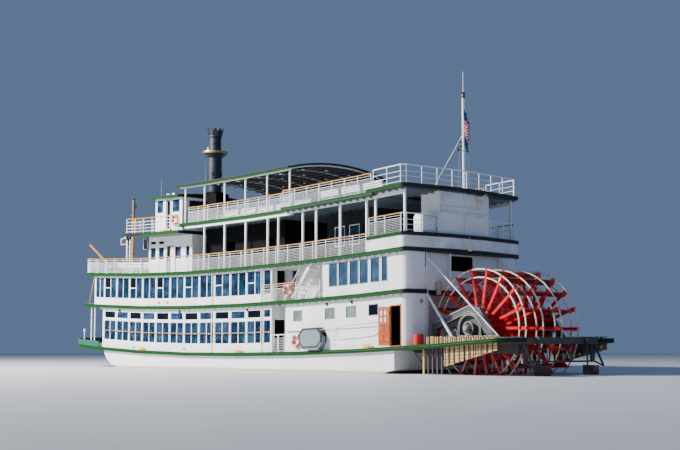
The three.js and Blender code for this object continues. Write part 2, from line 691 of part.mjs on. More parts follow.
// Wheel beams, housings and braces

const deckAt = (x, level) => level + sheer(x);

function timber(hand) {
  const { inner, outer, bottom, top: head, aft } = TIMBER;
  const across = [inner, outer].map((y) => y * hand).sort((a, b) => a - b);
  return box([aft, WELL.front - GAP], across, [bottom, head]);
}

function driveHousing() {
  const { inner, top: foot } = TIMBER;
  const outer = inner + 0.28;
  const { x, z } = WHEEL;
  const across = [inner, outer];
  const arch = (radius, sides, low) => join(
    disc(x, z, sides, radius, 0, 20),
    box([x - radius, x + radius], sides, [low, z]),
  ).trimByPlane([0, 0, 1], low);
  const outside = arch(0.87, across, foot + GAP);
  const hollow = arch(0.73, [inner + 0.08, outer + 1], foot + 0.12);
  const arm = profile([
    [-1.1, 2.62], [-1.1, 2.98], [-4.0, 3.95], [-4.75, 3.75], [-5.75, 2.3], [-5.9, foot + GAP],
    [-5.3, foot + GAP], [-4.62, 3.3], [-3.98, 3.5], [-1.5, 2.62],
  ], across);
  const leg = box([-1.5, -1.1], across, [foot + GAP, 2.7]);
  const bearing = disc(x, z, across, 0.34, 0, 20);
  const block = box([x - 0.34, x + 0.34], across, [foot + GAP, z]);
  const shell = join(outside.subtract(hollow), arm, leg, bearing, block);
  return shell.subtract(disc(x, z, [0, 9], SHAFT_RADIUS + RUN, 0, 24));
}

function sternPost() {
  const mid = TIMBER.brace;
  const [y0, y1] = [mid - 0.1, mid + 0.1];
  const foot = TIMBER.top + GAP;
  const head = deckAt(-0.95, under(DECK.three)) - 0.02;
  const post = box([-0.84, -0.66], [y0, y1], [foot, head]);
  const thin = bar([-0.75, mid, 6.9], [-6.35, mid, foot - 0.05], 0.045, 8);
  const thick = bar([-0.75, mid, 4.75], [-2.85, mid, foot - 0.05], 0.085, 8);
  return join(post, thin, thick).trimByPlane([0, 0, 1], foot);
}

pair('drive_housing', driveHousing(), GREY, null);
pair('stern_post', sternPost(), WHITE, null);

// The two timbers that carry the wheel, tied behind it by a beam with hanging posts
function wheelFrame() {
  const [x0, x1] = [-8.02, TIMBER.aft + 0.01];
  const y = TIMBER.outer - 0.01;
  const beam = box([x0, x1], [-y, y], [1.72, 2.08]);
  const posts = [-2.9, -1.0, 1.0, 2.9].map((place) =>
    box([-7.92, -7.8], [place - 0.06, place + 0.06], [0.7, 1.8]));
  const tie = box([-7.9, -7.82], [-2.95, 2.95], [0.7, 0.8]);
  const struts = [3.15, -3.15].flatMap((place) => [
    bar([-7.85, place, 1.8], [-8.5, place, 0.5], 0.07, 6),
    bar([-7.85, place, 0.75], [-8.5, place, 0.5], 0.05, 6),
    bar([-7.85, place, 1.8], [-7.85, place, 0.7], 0.05, 6),
  ]);
  const lugs = [MONKEY.y, -MONKEY.y].map((place) =>
    box([MONKEY.x - 0.12, x1 - 0.1], [place - 0.14, place + 0.14], [1.76, 2.04]));
  const bores = [MONKEY.y, -MONKEY.y].map((place) =>
    bar([MONKEY.x, place, 1], [MONKEY.x, place, 3], 0.05 + RUN, 16));
  return cut(join(timber(1), timber(-1), beam, posts, tie, struts, lugs), bores);
}
piece('wheel_frame', wheelFrame(), BLACK);

// Slatted skirt that hangs under each side deck
function skirt() {
  const y = [4.82, 4.9];
  const [front, aft] = [-3.65, -7.5];
  const hang = (x) => THREE.MathUtils.mapLinear(x, front, aft, -1.05, -0.36);
  const head = under(DECK.one) - GAP;
  const slats = Array.from({ length: 10 }, (_, i) => {
    const x = THREE.MathUtils.mapLinear(i, 0, 9, front - 0.14, aft + 0.14);
    return box([x - 0.14, x + 0.14], y, [head + hang(x), head]);
  });
  const rail = box([aft, front], [y[0] - 0.08, y[0] + 0.02], [head - 0.1, head]);
  const low = profile([
    [front, head + hang(front)], [front, head + hang(front) + 0.1],
    [aft, head + hang(aft) + 0.1], [aft, head + hang(aft)],
  ].reverse(), [y[0] - 0.06, y[0] + 0.02]);
  return join(slats, rail, low);
}
pair('deck_skirt', skirt(), CREAM);

// Paddle wheel: shaft, arms with the paddle boards, and the iron circles

const FLANGES = [-WHEEL.half, -WHEEL.half / 3, WHEEL.half / 3, WHEEL.half];
const ARM = { thick: 0.1, wide: 0.16 };
const BOARD = { inner: 2.98, outer: 3.33, thick: 0.07, overhang: 0.16 };
const INNER_CIRCLE = { outer: 2.96, inner: 2.89 };

function aboutWheel(body, turn) {
  const { x, z } = WHEEL;
  return body.rotate([0, THREE.MathUtils.radToDeg(turn), 0]).translate([x, 0, z]);
}

function wheelArms() {
  const { x, z, arms, half, radius } = WHEEL;
  const hubs = FLANGES.map((y) => disc(x, z, [y - 0.12, y + 0.12], 0.52, 0, 18));
  const sleeve = disc(x, z, [-half, half], 0.3, 0, 18);
  const spokes = [];
  const boards = [];
  for (let i = 0; i < arms; i++) {
    const turn = (2 * Math.PI * i) / arms;
    FLANGES.forEach((y) => {
      const across = [y - ARM.thick / 2, y + ARM.thick / 2];
      spokes.push(aboutWheel(box([0.3, radius - 0.06], across, [-ARM.wide / 2, ARM.wide / 2]), turn));
    });
    const reach = half + BOARD.overhang;
    const face = ARM.wide / 2 - 0.02;
    const board = box([BOARD.inner, BOARD.outer], [-reach, reach], [face, face + BOARD.thick]);
    boards.push(aboutWheel(board, turn));
  }
  const bore = disc(x, z, [-9, 9], SHAFT_RADIUS + GAP * 2, 0, 24);
  return join(hubs, sleeve, spokes, boards).subtract(bore);
}

piece('wheel_arms_and_boards', wheelArms(), RED);

function wheelShaft() {
  const { x, z } = WHEEL;
  const reach = TIMBER.outer + 0.05;
  return disc(x, z, [-reach, reach], SHAFT_RADIUS, 0, 24);
}
piece('wheel_shaft', wheelShaft(), STEEL);

// Each pair of circles lies on the outboard face of its arms, tied by short irons
function circles(flange) {
  const hand = Math.sign(flange);
  const face = flange + hand * (ARM.thick / 2 + GAP);
  const across = [Math.min(face, face + hand * 0.06), Math.max(face, face + hand * 0.06)];
  const { x, z, radius, arms } = WHEEL;
  const outer = disc(x, z, across, radius, radius - 0.07, 36);
  const inner = disc(x, z, across, INNER_CIRCLE.outer, INNER_CIRCLE.inner, 36);
  const ties = [0, 1, 2].map((i) => aboutWheel(
    box([INNER_CIRCLE.inner + 0.01, radius - 0.03], across, [-0.05, 0.03]), (2 * Math.PI * (i * 6)) / arms));
  return join(outer, inner, ties);
}
FLANGES.forEach((flange, i) => piece(`wheel_circles_${i + 1}`, circles(flange), CREAM));

// Rudders: two ahead of the wheel under the rising stern, two behind it

function rudder() {
  const { x, y, front, aft, top: head, bottom } = RUDDER;
  const blade = box([x - aft, x + front], [y - 0.035, y + 0.035], [bottom, head]);
  return join(blade, bar([x, y, bottom + 0.05], [x, y, 0.3], 0.07, 16));
}
pair('rudder', rudder(), STEEL, null);

function monkeyRudder() {
  const { x, y, front, aft, top: head, bottom } = MONKEY;
  const blade = box([x - aft, x + front], [y - 0.035, y + 0.035], [bottom, head]);
  const collar = bar([x, y, 2.04 + GAP], [x, y, 2.14], 0.1, 16);
  return join(blade, bar([x, y, bottom + 0.05], [x, y, 2.1], 0.05, 16), collar);
}
pair('monkey_rudder', monkeyRudder(), STEEL, null);

// Engine-room doors: level leaves on round knuckles, folded flat against the wall ahead of their doorways
const DOOR_LEAF = { hinge: 0.59, wide: 0.91, thick: 0.045, off: 0.012 };

function engineDoor() {
  const { aft, front, sill, head } = ENGINE_DOOR;
  const { hinge, wide, thick, off } = DOOR_LEAF;
  const low = deckAt((aft + front) / 2, top(DECK.one));
  const inner = HOUSE_SIDE + off;
  const axis = inner + thick / 2;
  const [foot, crown] = [low + sill + 0.035, low + head - 0.035];
  const leaf = box([hinge, hinge + wide], [inner, inner + thick], [foot, crown]);
  const panes = [0.24, 0.57].flatMap((x) => [1.42, 1.82].map((z) =>
    box([hinge + x, hinge + x + 0.22], [inner - 1, inner + 1], [low + z, low + z + 0.3])));
  const knuckles = [0.35, 1.85].map((z) =>
    bar([hinge, axis, low + z], [hinge, axis, low + z + 0.15], axis - HOUSE_SIDE - GAP, 16));
  return join(cut(leaf, panes), knuckles);
}
pair('engine_door', engineDoor(), ORANGE, null);

// Octagonal drum on the port side wall
function drum() {
  const [x0, x1, z0, z1, c] = [6.2, 8.26, 1.37, 2.53, 0.36];
  const outline = [
    [x0 + c, z0], [x1 - c, z0], [x1, z0 + c], [x1, z1 - c],
    [x1 - c, z1], [x0 + c, z1], [x0, z1 - c], [x0, z0 + c],
  ];
  return profile(outline, [HOUSE_SIDE + GAP, HOUSE_SIDE + 0.45]);
}
piece('side_drum', drum(), GREY);

// Funnel with its crown of petals

function funnel() {
  const [x, y] = [24.75, 0];
  const foot = top(DECK.bridge) + GAP;
  const pipe = turned([
    [0, foot], [0.53, foot], [0.53, 15.85], [0.93, 16.2], [0.93, 16.36], [0.46, 16.42],
    [0.46, 17.45], [0.52, 17.5], [0.52, 17.6], [0.38, 17.6], [0.38, 16.8], [0, 16.8],
  ], x, y);
  const petals = Array.from({ length: 10 }, (_, i) => {
    const turn = (2 * Math.PI * i) / 10;
    const shape = [[-0.12, 0], [0.12, 0], [0.17, 0.35], [0.06, 0.62], [-0.06, 0.62], [-0.17, 0.35]];
    const petal = prism(shape, [0, 0.05]).rotate([90, 0, 90]).rotate([0, 14, 0]).translate([0.44, 0, 17.56]);
    return petal.rotate([0, 0, THREE.MathUtils.radToDeg(turn)]).translate([x, y, 0]);
  });
  return join(pipe, petals);
}
onDeck('funnel', funnel(), BLACK);

// Masts, each upright on its deck, and the bow boom
function sternMast() {
  const [x, y] = [-0.85, 0];
  const foot = top(DECK.fourAft) + GAP;
  return join(
    bar([x, y, foot], [x, y, foot + 5.75], 0.09, 10),
    bar([x, y, foot + 5.7], [x, y, foot + 7.3], 0.02, 6),
    turned([[0, foot + 5.7], [0.11, foot + 5.7], [0.11, foot + 5.95], [0, foot + 5.95]], x, y, 10),
    turned([[0, foot], [0.16, foot], [0.16, foot + 0.08], [0, foot + 0.08]], x, y, 10),
  );
}
onDeck('stern_mast', sternMast(), WHITE);

function bowMast() {
  const [x, y] = [36.2, 0];
  const foot = top(DECK.three) + GAP;
  return join(
    bar([x, y, foot], [x, y, foot + 6.28], 0.12, 12),
    box([x - 0.22, x + 0.22], [-0.22, 0.22], [foot, foot + 0.3]),
  );
}
onDeck('bow_mast', bowMast(), WOOD);

function boom() {
  const { x, y, reach, rise: height, pivot, radius, pin } = BOOM;
  const heel = deckAt(x, top(DECK.three)) + pivot;
  const spar = bar([x, y, heel], [x + reach, y, heel + height], radius, 10);
  return join(spar, bar([x, y - 0.21, heel], [x, y + 0.21, heel], pin, 16));
}
piece('bow_boom', boom(), WOOD);

export default ship;
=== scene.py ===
"""Sternwheel excursion boat at half size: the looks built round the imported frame."""

import json
import math

import bmesh
import bpy
import numpy as np
from bpy.props import FloatProperty, FloatVectorProperty, IntProperty, PointerProperty
from bpy.types import Operator, Panel, PropertyGroup
from mathutils import Matrix, Vector

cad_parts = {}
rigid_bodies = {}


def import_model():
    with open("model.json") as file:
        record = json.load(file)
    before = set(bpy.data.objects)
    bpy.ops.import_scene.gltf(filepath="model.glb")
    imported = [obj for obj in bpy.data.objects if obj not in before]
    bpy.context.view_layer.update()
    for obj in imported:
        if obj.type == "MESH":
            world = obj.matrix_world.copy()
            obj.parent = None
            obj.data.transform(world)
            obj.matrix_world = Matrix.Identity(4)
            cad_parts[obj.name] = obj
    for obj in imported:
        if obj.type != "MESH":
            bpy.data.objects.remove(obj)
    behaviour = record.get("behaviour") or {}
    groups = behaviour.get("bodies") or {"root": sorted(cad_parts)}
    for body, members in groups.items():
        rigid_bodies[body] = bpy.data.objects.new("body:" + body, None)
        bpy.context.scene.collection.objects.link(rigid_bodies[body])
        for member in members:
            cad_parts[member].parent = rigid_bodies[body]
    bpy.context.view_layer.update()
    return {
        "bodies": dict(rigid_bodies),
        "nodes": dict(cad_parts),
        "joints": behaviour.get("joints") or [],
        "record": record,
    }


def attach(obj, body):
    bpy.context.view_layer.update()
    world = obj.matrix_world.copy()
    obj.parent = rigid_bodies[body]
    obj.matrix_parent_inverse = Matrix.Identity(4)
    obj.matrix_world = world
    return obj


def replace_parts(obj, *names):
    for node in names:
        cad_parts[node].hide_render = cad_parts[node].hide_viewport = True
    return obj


bl_info = {
    "name": "Sternwheel Excursion Boat",
    "version": (1, 0, 0),
    "blender": (4, 5, 0),
    "location": "3D View > Sidebar > Boat",
    "description": "Builds and finishes a four-deck sternwheel excursion boat around its packed frame",
    "category": "Add Mesh",
}

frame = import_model()

# The numbers below are full-size metres in the ship's frame: X forward from the transom, Y to port,
# Z up from the waterline. A finished piece is brought to the model's half size.
MODEL_SCALE = 0.5
ORIGIN_X = 14.5
DRAFT = 1.1
WATERLINE = DRAFT * MODEL_SCALE

SIDE = 5.2
WALL_SIDE = 4.95
EDGE = 0.24
DECK_1, DECK_2, DECK_3, DECK_3_AFT = 1.03, 4.3, 6.74, 7.63
BRIDGE, DECK_4, DECK_4_AFT = 9.8, 10.32, 10.46
ROOF_EDGE, ROOF_CROWN = 13.24, 0.59
LOWEST_X = 18
SHEER_FORWARD, SHEER_AFT = 0.0019, 0.0013
STATIONS = (-9, -3, 3, 9, 15, 21, 27, 33, 39)

CABIN_AFT, CABIN_1_FRONT, CABIN_2_FRONT = 11.55, 32.5, 33.8
# Window bays that both passenger cabins share, and the narrow window aft of them
BAY_AFT, BAY_PITCH, BAY_COUNT, MULLION = 12.45, 1.81, 11, 0.15
NARROW_WINDOW = (11.68, 12.42)
FORE_WINDOW = (32.42, 33.65)
ENGINE_WINDOWS = ((8.48, 9.36), (5.39, 6.31), (3.46, 4.38), (1.54, 2.4))
AFT_WINDOWS = ((5.15, 5.94), (4.2, 5.06), (3.26, 4.06), (2.42, 3.17), (1.44, 2.21), (0.77, 1.27))
DOORWAY = (-0.28, 0.55)
RECESS_SIDE = 3.6
STERN_FACE = -0.85
AWNING_HALF = 4.45
WHEEL_X, WHEEL_Z, WHEEL_ARMS, WHEEL_HALF = -4.0, 2.6, 18, 2.25
BOARD_INNER, BOARD_OUTER = 2.98, 3.33
# In the model's metres: the bridge deck's underside, how far aft its black edge goes, and the mast's dark top
BRIDGE_UNDER, BRIDGE_BLACK, MAST_TOP = 5.38, 6.45, 6.66
TIMBER_INNER, TIMBER_OUTER, TIMBER_TOP, TIMBER_BOTTOM = 2.9, 3.4, 2.1, 1.2


def top(level):
    """Height of a deck's walking surface, before the sheer."""
    return level + EDGE / 2


def under(level):
    """Height of a deck's underside, before the sheer."""
    return level - EDGE / 2


def rise(x):
    """How far the sheer curve lifts the decks at one place."""
    return (SHEER_FORWARD if x > LOWEST_X else SHEER_AFT) * (x - LOWEST_X) ** 2


def sheer(x):
    """The sheer as the frame has it, straight between the stations."""
    return float(np.interp(x, STATIONS, [rise(station) for station in STATIONS]))


PORT, UP = (0, 1, 0), (0, 0, 1)
QUARTER_TURN = math.pi / 2
# A ring's turn so that its axis lies across the ship
ON_EDGE = (QUARTER_TURN, 0, 0)

# Sizes and colours that a user would change


def colour(name, value, description):
    return FloatVectorProperty(name=name, subtype="COLOR", size=3, min=0, max=1, default=value,
                               description=description)


def length(name, value, description):
    return FloatProperty(name=name, default=value, min=0.001, unit="LENGTH", description=description)


class BoatPaint(PropertyGroup):
    """Paint colours."""

    white: colour("White", (0.90, 0.91, 0.92), "Houses, hull and rails")
    green: colour("Green", (0.0, 0.055, 0.004), "Deck edges and roofs")
    # The bulwark's teal is partly its green paint and partly the blue of its shade: painted shade
    teal: colour("Teal", (0.006, 0.10, 0.07), "Bulwark round the fore deck")
    red: colour("Wheel red", (0.80, 0.004, 0.008), "Arms and boards of the paddle wheel")
    cream: colour("Cream", (0.98, 0.86, 0.58), "Wheel circles")
    orange: colour("Orange", (0.62, 0.10, 0.0), "Engine doors")
    varnish: colour("Varnish", (0.56, 0.24, 0.01), "Handrails and spars")
    glass: colour("Glass", (0.006, 0.022, 0.06), "Window panes")


class BoatRails(PropertyGroup):
    """Sizes of the railings, full size."""

    height: length("Height", 1.1, "Height of the handrail above the deck")
    post_pitch: length("Post pitch", 1.22, "Distance between posts")
    post_radius: length("Post radius", 0.028, "Radius of a post")
    wire_pitch: length("Wire pitch", 0.12, "Distance between upright wires")
    wire_radius: length("Wire radius", 0.0085, "Radius of a wire")
    handrail_radius: length("Handrail radius", 0.034, "Radius of the handrail")
    rows: IntProperty(name="Rows", default=8, min=2, max=14, description="Level wires in a panel")


class BoatStage(PropertyGroup):
    """Floor and lights."""

    floor: colour("Floor", (0.60, 0.62, 0.65), "Studio floor")
    sun: FloatProperty(name="Key light", default=15.0, min=0, description="Strength of the key light")
    sky: FloatProperty(name="Fill light", default=0.30, min=0, description="Strength of the fill light")


# Modelling, in the ship's frame


def deselect():
    if bpy.context.mode != "OBJECT":
        bpy.ops.object.mode_set(mode="OBJECT")
    bpy.ops.object.select_all(action="DESELECT")


def linked(name, data):
    """A new object in the scene, holding a mesh, a curve, a lamp or a lens."""
    obj = bpy.data.objects.new(name, data)
    bpy.context.collection.objects.link(obj)
    return obj


def pick(obj):
    deselect()
    obj.select_set(True)
    bpy.context.view_layer.objects.active = obj
    return obj


def settle(obj):
    """Puts a piece's place and turn into its mesh."""
    pick(obj)
    bpy.ops.object.transform_apply(location=True, rotation=True, scale=True)
    return obj


def edit(obj):
    pick(obj)
    bpy.ops.object.mode_set(mode="EDIT")
    bpy.ops.mesh.select_mode(type="FACE")
    bpy.ops.mesh.select_all(action="SELECT")


def leave_edit():
    bpy.ops.object.mode_set(mode="OBJECT")
    return bpy.context.object


def pick_faces(obj, wanted):
    """Enters edit mode with only the wanted faces selected."""
    edit(obj)
    bpy.ops.mesh.select_all(action="DESELECT")
    shape = bmesh.from_edit_mesh(obj.data)
    for face in shape.faces:
        face.select_set(wanted(face))
    bmesh.update_edit_mesh(obj.data)


def push(way):
    """Extrudes the selected faces."""
    bpy.ops.mesh.extrude_region_move(TRANSFORM_OT_translate={"value": way})


def facing(direction):
    return lambda face: face.normal.dot(Vector(direction)) > 0.9


def recess(obj, direction, rim, way):
    """Insets the faces that look in one direction and pushes them; more may follow in edit mode."""
    pick_faces(obj, facing(direction))
    bpy.ops.mesh.inset(thickness=rim)
    push(way)


def number_picked(obj, number):
    """Gives the selected faces one number of finish and leaves edit mode."""
    shape = bmesh.from_edit_mesh(obj.data)
    for face in shape.faces:
        if face.select:
            face.material_index = number
    bmesh.update_edit_mesh(obj.data)
    return leave_edit()


def numbered(obj, number):
    """Gives every face of a piece one number of finish."""
    for face in obj.data.polygons:
        face.material_index = number
    return obj


def bevel(obj, width, segments=1):
    edit(obj)
    bpy.ops.mesh.bevel(offset=width, segments=segments, affect="EDGES")
    return leave_edit()


def block(low, high, round_by=0.0):
    """A box between two corners, with its edges rounded a little."""
    deselect()
    bpy.ops.mesh.primitive_cube_add(size=1, location=[(a + b) / 2 for a, b in zip(low, high)])
    obj = bpy.context.object
    obj.scale = [b - a for a, b in zip(low, high)]
    settle(obj)
    return bevel(obj, round_by) if round_by else obj


def rod(start, end, radius, sides=8, tip=None):
    """A round bar, or a tapered one where tip gives the radius of its end."""
    start, end = Vector(start), Vector(end)
    way = end - start
    deselect()
    bpy.ops.mesh.primitive_cone_add(vertices=sides, radius1=radius, radius2=radius if tip is None else tip,
                                    depth=way.length, location=(start + end) / 2,
                                    rotation=way.to_track_quat("Z", "Y").to_euler())
    return settle(bpy.context.object)


def torus(centre, radius, thickness, turn=(0, 0, 0), steps=36, sides=10):
    deselect()
    bpy.ops.mesh.primitive_torus_add(location=centre, rotation=turn, major_radius=radius,
                                     minor_radius=thickness, major_segments=steps, minor_segments=sides)
    return settle(bpy.context.object)


def pipe(points, radius, sides=6, closed=False):
    """A tube that follows a line of points, with mitred corners."""
    line = bpy.data.curves.new("pipe", "CURVE")
    line.dimensions = "3D"
    line.bevel_depth = radius
    line.bevel_resolution = (sides - 4) // 2
    line.use_fill_caps = not closed
    spline = line.splines.new("POLY")
    spline.points.add(len(points) - 1)
    for point, place in zip(spline.points, points):
        point.co = (*place, 1)
    spline.use_cyclic_u = closed
    pick(linked("pipe", line))
    bpy.ops.object.convert(target="MESH")
    return bpy.context.object


def spun(profile, centre, axis=(0, 0, 1), steps=24):
    """A turned form: a profile of (radius, height along the axis), spun round and closed."""
    way = Vector(axis)
    out = way.orthogonal().normalized()
    line = bpy.data.meshes.new("profile")
    points = [Vector(centre) + out * r + way * h for r, h in profile]
    line.from_pydata(points, [(i, i + 1) for i in range(len(points) - 1)], [])
    pick(linked("spun", line))
    bpy.ops.object.mode_set(mode="EDIT")
    bpy.ops.mesh.select_mode(type="VERT")
    bpy.ops.mesh.select_all(action="SELECT")
    bpy.ops.mesh.spin(steps=steps, angle=2 * math.pi, center=centre, axis=axis)
    bpy.ops.mesh.select_all(action="SELECT")
    bpy.ops.mesh.remove_doubles(threshold=0.0004)
    bpy.ops.mesh.normals_make_consistent(inside=False)
    return leave_edit()


def plate(points, way, round_by=0.0):
    """A flat outline pushed one way into a plate."""
    mesh = bpy.data.meshes.new("plate")
    mesh.from_pydata(points, [], [list(range(len(points)))])
    obj = linked("plate", mesh)
    edit(obj)
    push(way)
    bpy.ops.mesh.select_all(action="SELECT")
    bpy.ops.mesh.normals_make_consistent(inside=False)
    leave_edit()
    return bevel(obj, round_by) if round_by else obj


def slab_of(points, low, high, round_by=0.0):
    """A plate with an outline of (x, y) points, from one height to another."""
    return plate([(x, y, low) for x, y in points], (0, 0, high - low), round_by)


def side_plate(points, y0, y1, round_by=0.0):
    """A plate with an outline of (x, z) points, from one side to another."""
    return plate([(x, y0, z) for x, z in points], (0, y1 - y0, 0), round_by)


def cross_plate(points, x0, x1, round_by=0.0):
    """A plate with an outline of (y, z) points, from one place along the ship to another."""
    return plate([(x0, y, z) for y, z in points], (x1 - x0, 0, 0), round_by)


def joined(parts):
    """Several pieces made one, each face keeping the number of its finish."""
    parts = list(parts)
    if len(parts) == 1:
        return pick(parts[0])
    for part in parts:
        kinds = [face.material_index for face in part.data.polygons]
        part.data.attributes.new("kind", "INT", "FACE").data.foreach_set("value", kinds)
    pick(parts[0])
    for part in parts[1:]:
        part.select_set(True)
    bpy.ops.object.join()
    obj = bpy.context.object
    kinds = [item.value for item in obj.data.attributes["kind"].data]
    obj.data.attributes.remove(obj.data.attributes["kind"])
    obj.data.polygons.foreach_set("material_index", kinds)
    return obj


def copies(model, places):
    """One mesh with a copy of the model at each place, and the model itself taken away."""
    points = np.array([vertex.co for vertex in model.data.vertices])
    faces = [list(face.vertices) for face in model.data.polygons]
    kinds = [face.material_index for face in model.data.polygons]
    all_points, all_faces = [], []
    for count, place in enumerate(places):
        turn = np.array(place.to_3x3())
        all_points.append(points @ turn.T + np.array(place.translation))
        flipped = place.determinant() < 0
        start = count * len(points)
        all_faces += [[start + i for i in (reversed(face) if flipped else face)] for face in faces]
    mesh = bpy.data.meshes.new("copies")
    mesh.from_pydata(np.concatenate(all_points).tolist(), [], all_faces)
    mesh.polygons.foreach_set("material_index", kinds * len(places))
    for material in model.data.materials:
        mesh.materials.append(material)
    bpy.data.objects.remove(model)
    return linked("copies", mesh)


def at(x, y, z, turn=0.0):
    """A place for a copy, turned about the upright axis."""
    return Matrix.Translation((x, y, z)) @ Matrix.Rotation(turn, 4, "Z")


MIRROR = Matrix.Scale(-1, 4, (0, 1, 0))


def both_sides(obj):
    """A port piece together with its mirror image to starboard."""
    return copies(obj, [Matrix.Identity(4), MIRROR])


def bend_to_sheer(obj):
    """Cuts a piece at the stations it crosses and lifts it with the decks."""
    xs = [vertex.co.x for vertex in obj.data.vertices]
    crossed = [station for station in STATIONS if min(xs) + 0.01 < station < max(xs) - 0.01]
    if crossed:
        edit(obj)
        for station in crossed:
            bpy.ops.mesh.select_all(action="SELECT")
            bpy.ops.mesh.bisect(plane_co=(station, 0, 0), plane_no=(1, 0, 0))
        leave_edit()
    for vertex in obj.data.vertices:
        vertex.co.z += sheer(vertex.co.x)


COATS = {}
# The record's paint slot of a piece whose first coat is one of these
SLOT_COATS = {
    "white_paint": ("wall", "white", "screen", "rail", "glass_white"),
    "green_paint": ("green",),
    "black_paint": ("black", "dark", "shade", "canvas", "funnel"),
    "grey_paint": ("slate", "grey"),
    "cream_paint": ("cream", "yellow", "slat", "brass"),
    "red_paint": ("red", "scarlet", "ring_red"),
    "orange_paint": ("plank",),
    "wood": ("varnish", "rope"),
    "steel": ("steel", "bright", "weathered", "rusty"),
}
COAT_SLOTS = {coat: slot for slot, coats in SLOT_COATS.items() for coat in coats}


def whole(made):
    return joined(made) if isinstance(made, list) else made


def finish(made, name, coats, body="ship", slot=None, bends=True, smooth=35):
    """Joins a piece's parts, lifts them with the decks, brings them to the model's size and gives them their
    coats and body. A face's number picks its coat; the slot, the first coat's if none is given, is worked out
    but not given to the piece."""
    obj = whole(made)
    if bends:
        bend_to_sheer(obj)
    obj.data.transform(Matrix.Scale(MODEL_SCALE, 4) @ Matrix.Translation((-ORIGIN_X, 0, DRAFT)))
    obj.name = obj.data.name = name
    coats = [coats] if isinstance(coats, str) else coats
    kinds = [min(face.material_index, len(coats) - 1) for face in obj.data.polygons]
    obj.data.materials.clear()
    for coat in coats:
        obj.data.materials.append(COATS[coat])
    obj.data.polygons.foreach_set("material_index", kinds)
    pick(obj)
    bpy.ops.object.shade_smooth_by_angle(angle=math.radians(smooth))
    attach(obj, body)
    slot = slot or COAT_SLOTS.get(coats[0])
    return obj


def finish_pair(made, name, coats, body="ship", **options):
    """Finishes a port piece together with its mirror image to starboard."""
    return finish(both_sides(whole(made)), name, coats, body, **options)


# Finishes: procedural materials on Object coordinates, in the model's metres


# The ceiling grey is a deck's pale underside darkened as painted shade; EDGE_BLACK is painted shade on the
# aft-facing deck edges and the bridge deck's black fore edge
EDGE_BLACK, WALKED_GREY, SHADED_CEILING = (0.012, 0.014, 0.02), (0.13, 0.16, 0.16), (0.16, 0.16, 0.16)
UPRIGHT_GRAIN = (9.0, 9.0, 0.7)
SHADER_SOCKETS = {"metallic": "Metallic", "specular": "Specular IOR Level", "lacquer": "Coat Weight",
                  "sheen": "Sheen Weight", "bending": "IOR"}


class Coat:
    """One material, built node by node."""

    def __init__(self, name, roughness=0.5, **looks):
        self.material = bpy.data.materials.new(name)
        self.material.use_nodes = True
        self.tree = self.material.node_tree
        self.shader = self.tree.nodes["Principled BSDF"]
        self.shader.inputs["Roughness"].default_value = roughness
        for look, value in looks.items():
            self.shader.inputs[SHADER_SOCKETS[look]].default_value = value
        self.where = self.node("ShaderNodeTexCoord").outputs["Object"]

    def node(self, kind, sockets=None, **values):
        """A new node, its values set and its sockets fed."""
        made = self.tree.nodes.new(kind)
        for key, value in values.items():
            setattr(made, key, value)
        for key, value in (sockets or {}).items():
            self.feed(made.inputs[key], value)
        return made

    def feed(self, socket, value):
        """Sets a socket, or links it where the value is another node's output."""
        if isinstance(value, bpy.types.NodeSocket):
            self.tree.links.new(value, socket)
        elif hasattr(value, "__len__"):
            socket.default_value = (*value, 1.0)[: len(socket.default_value)]
        else:
            socket.default_value = value

    def noise(self, scale, detail=4.0, stretch=None, roughness=0.55):
        where = self.where
        if stretch:
            where = self.node("ShaderNodeMapping", {"Vector": where, "Scale": stretch}).outputs["Vector"]
        return self.node("ShaderNodeTexNoise", {"Vector": where, "Scale": scale, "Detail": detail,
                                                "Roughness": roughness}).outputs["Fac"]

    def ramp(self, source, low, high, start=0.0, end=1.0):
        """Turns the span low to high of a value into start to end, clamped."""
        return self.node("ShaderNodeMapRange", {"Value": source, "From Min": low, "From Max": high,
                                                "To Min": start, "To Max": end}).outputs["Result"]

    def spots(self, scale, detail, low, high, start=0.0, end=1.0, stretch=None):
        """Noise whose span low to high is turned into start to end."""
        return self.ramp(self.noise(scale, detail, stretch), low, high, start, end)

    def mix(self, share, first, second):
        return self.node("ShaderNodeMix", {0: share, 6: first, 7: second}, data_type="RGBA").outputs[2]

    def maths(self, kind, first, second=0.0):
        return self.node("ShaderNodeMath", {0: first, 1: second}, operation=kind).outputs[0]

    def split(self, source):
        return self.node("ShaderNodeSeparateXYZ", {0: source}).outputs

    def seams(self, pitch, width):
        """Dark upright lines at a pitch along the ship: one value, 1 on a line."""
        cell = self.maths("FRACT", self.maths("DIVIDE", self.split(self.where)[0], pitch))
        return self.maths("LESS_THAN", cell, width / pitch)

    def bump(self, height, strength=0.3, distance=0.01):
        made = self.node("ShaderNodeBump", {"Strength": strength, "Distance": distance, "Height": height})
        self.feed(self.shader.inputs["Normal"], made.outputs["Normal"])

    def done(self, tint, rough=None):
        self.feed(self.shader.inputs["Base Color"], tint)
        if rough is not None:
            self.feed(self.shader.inputs["Roughness"], rough)
        return self.material


def darker(tint, share):
    return tuple(part * share for part in tint)


def lighter(tint, share):
    return tuple(part + (1 - part) * share for part in tint)


def fuller(tint, share):
    """A stronger tone of the same hue."""
    return tuple(min(1.0, part * share) for part in tint)


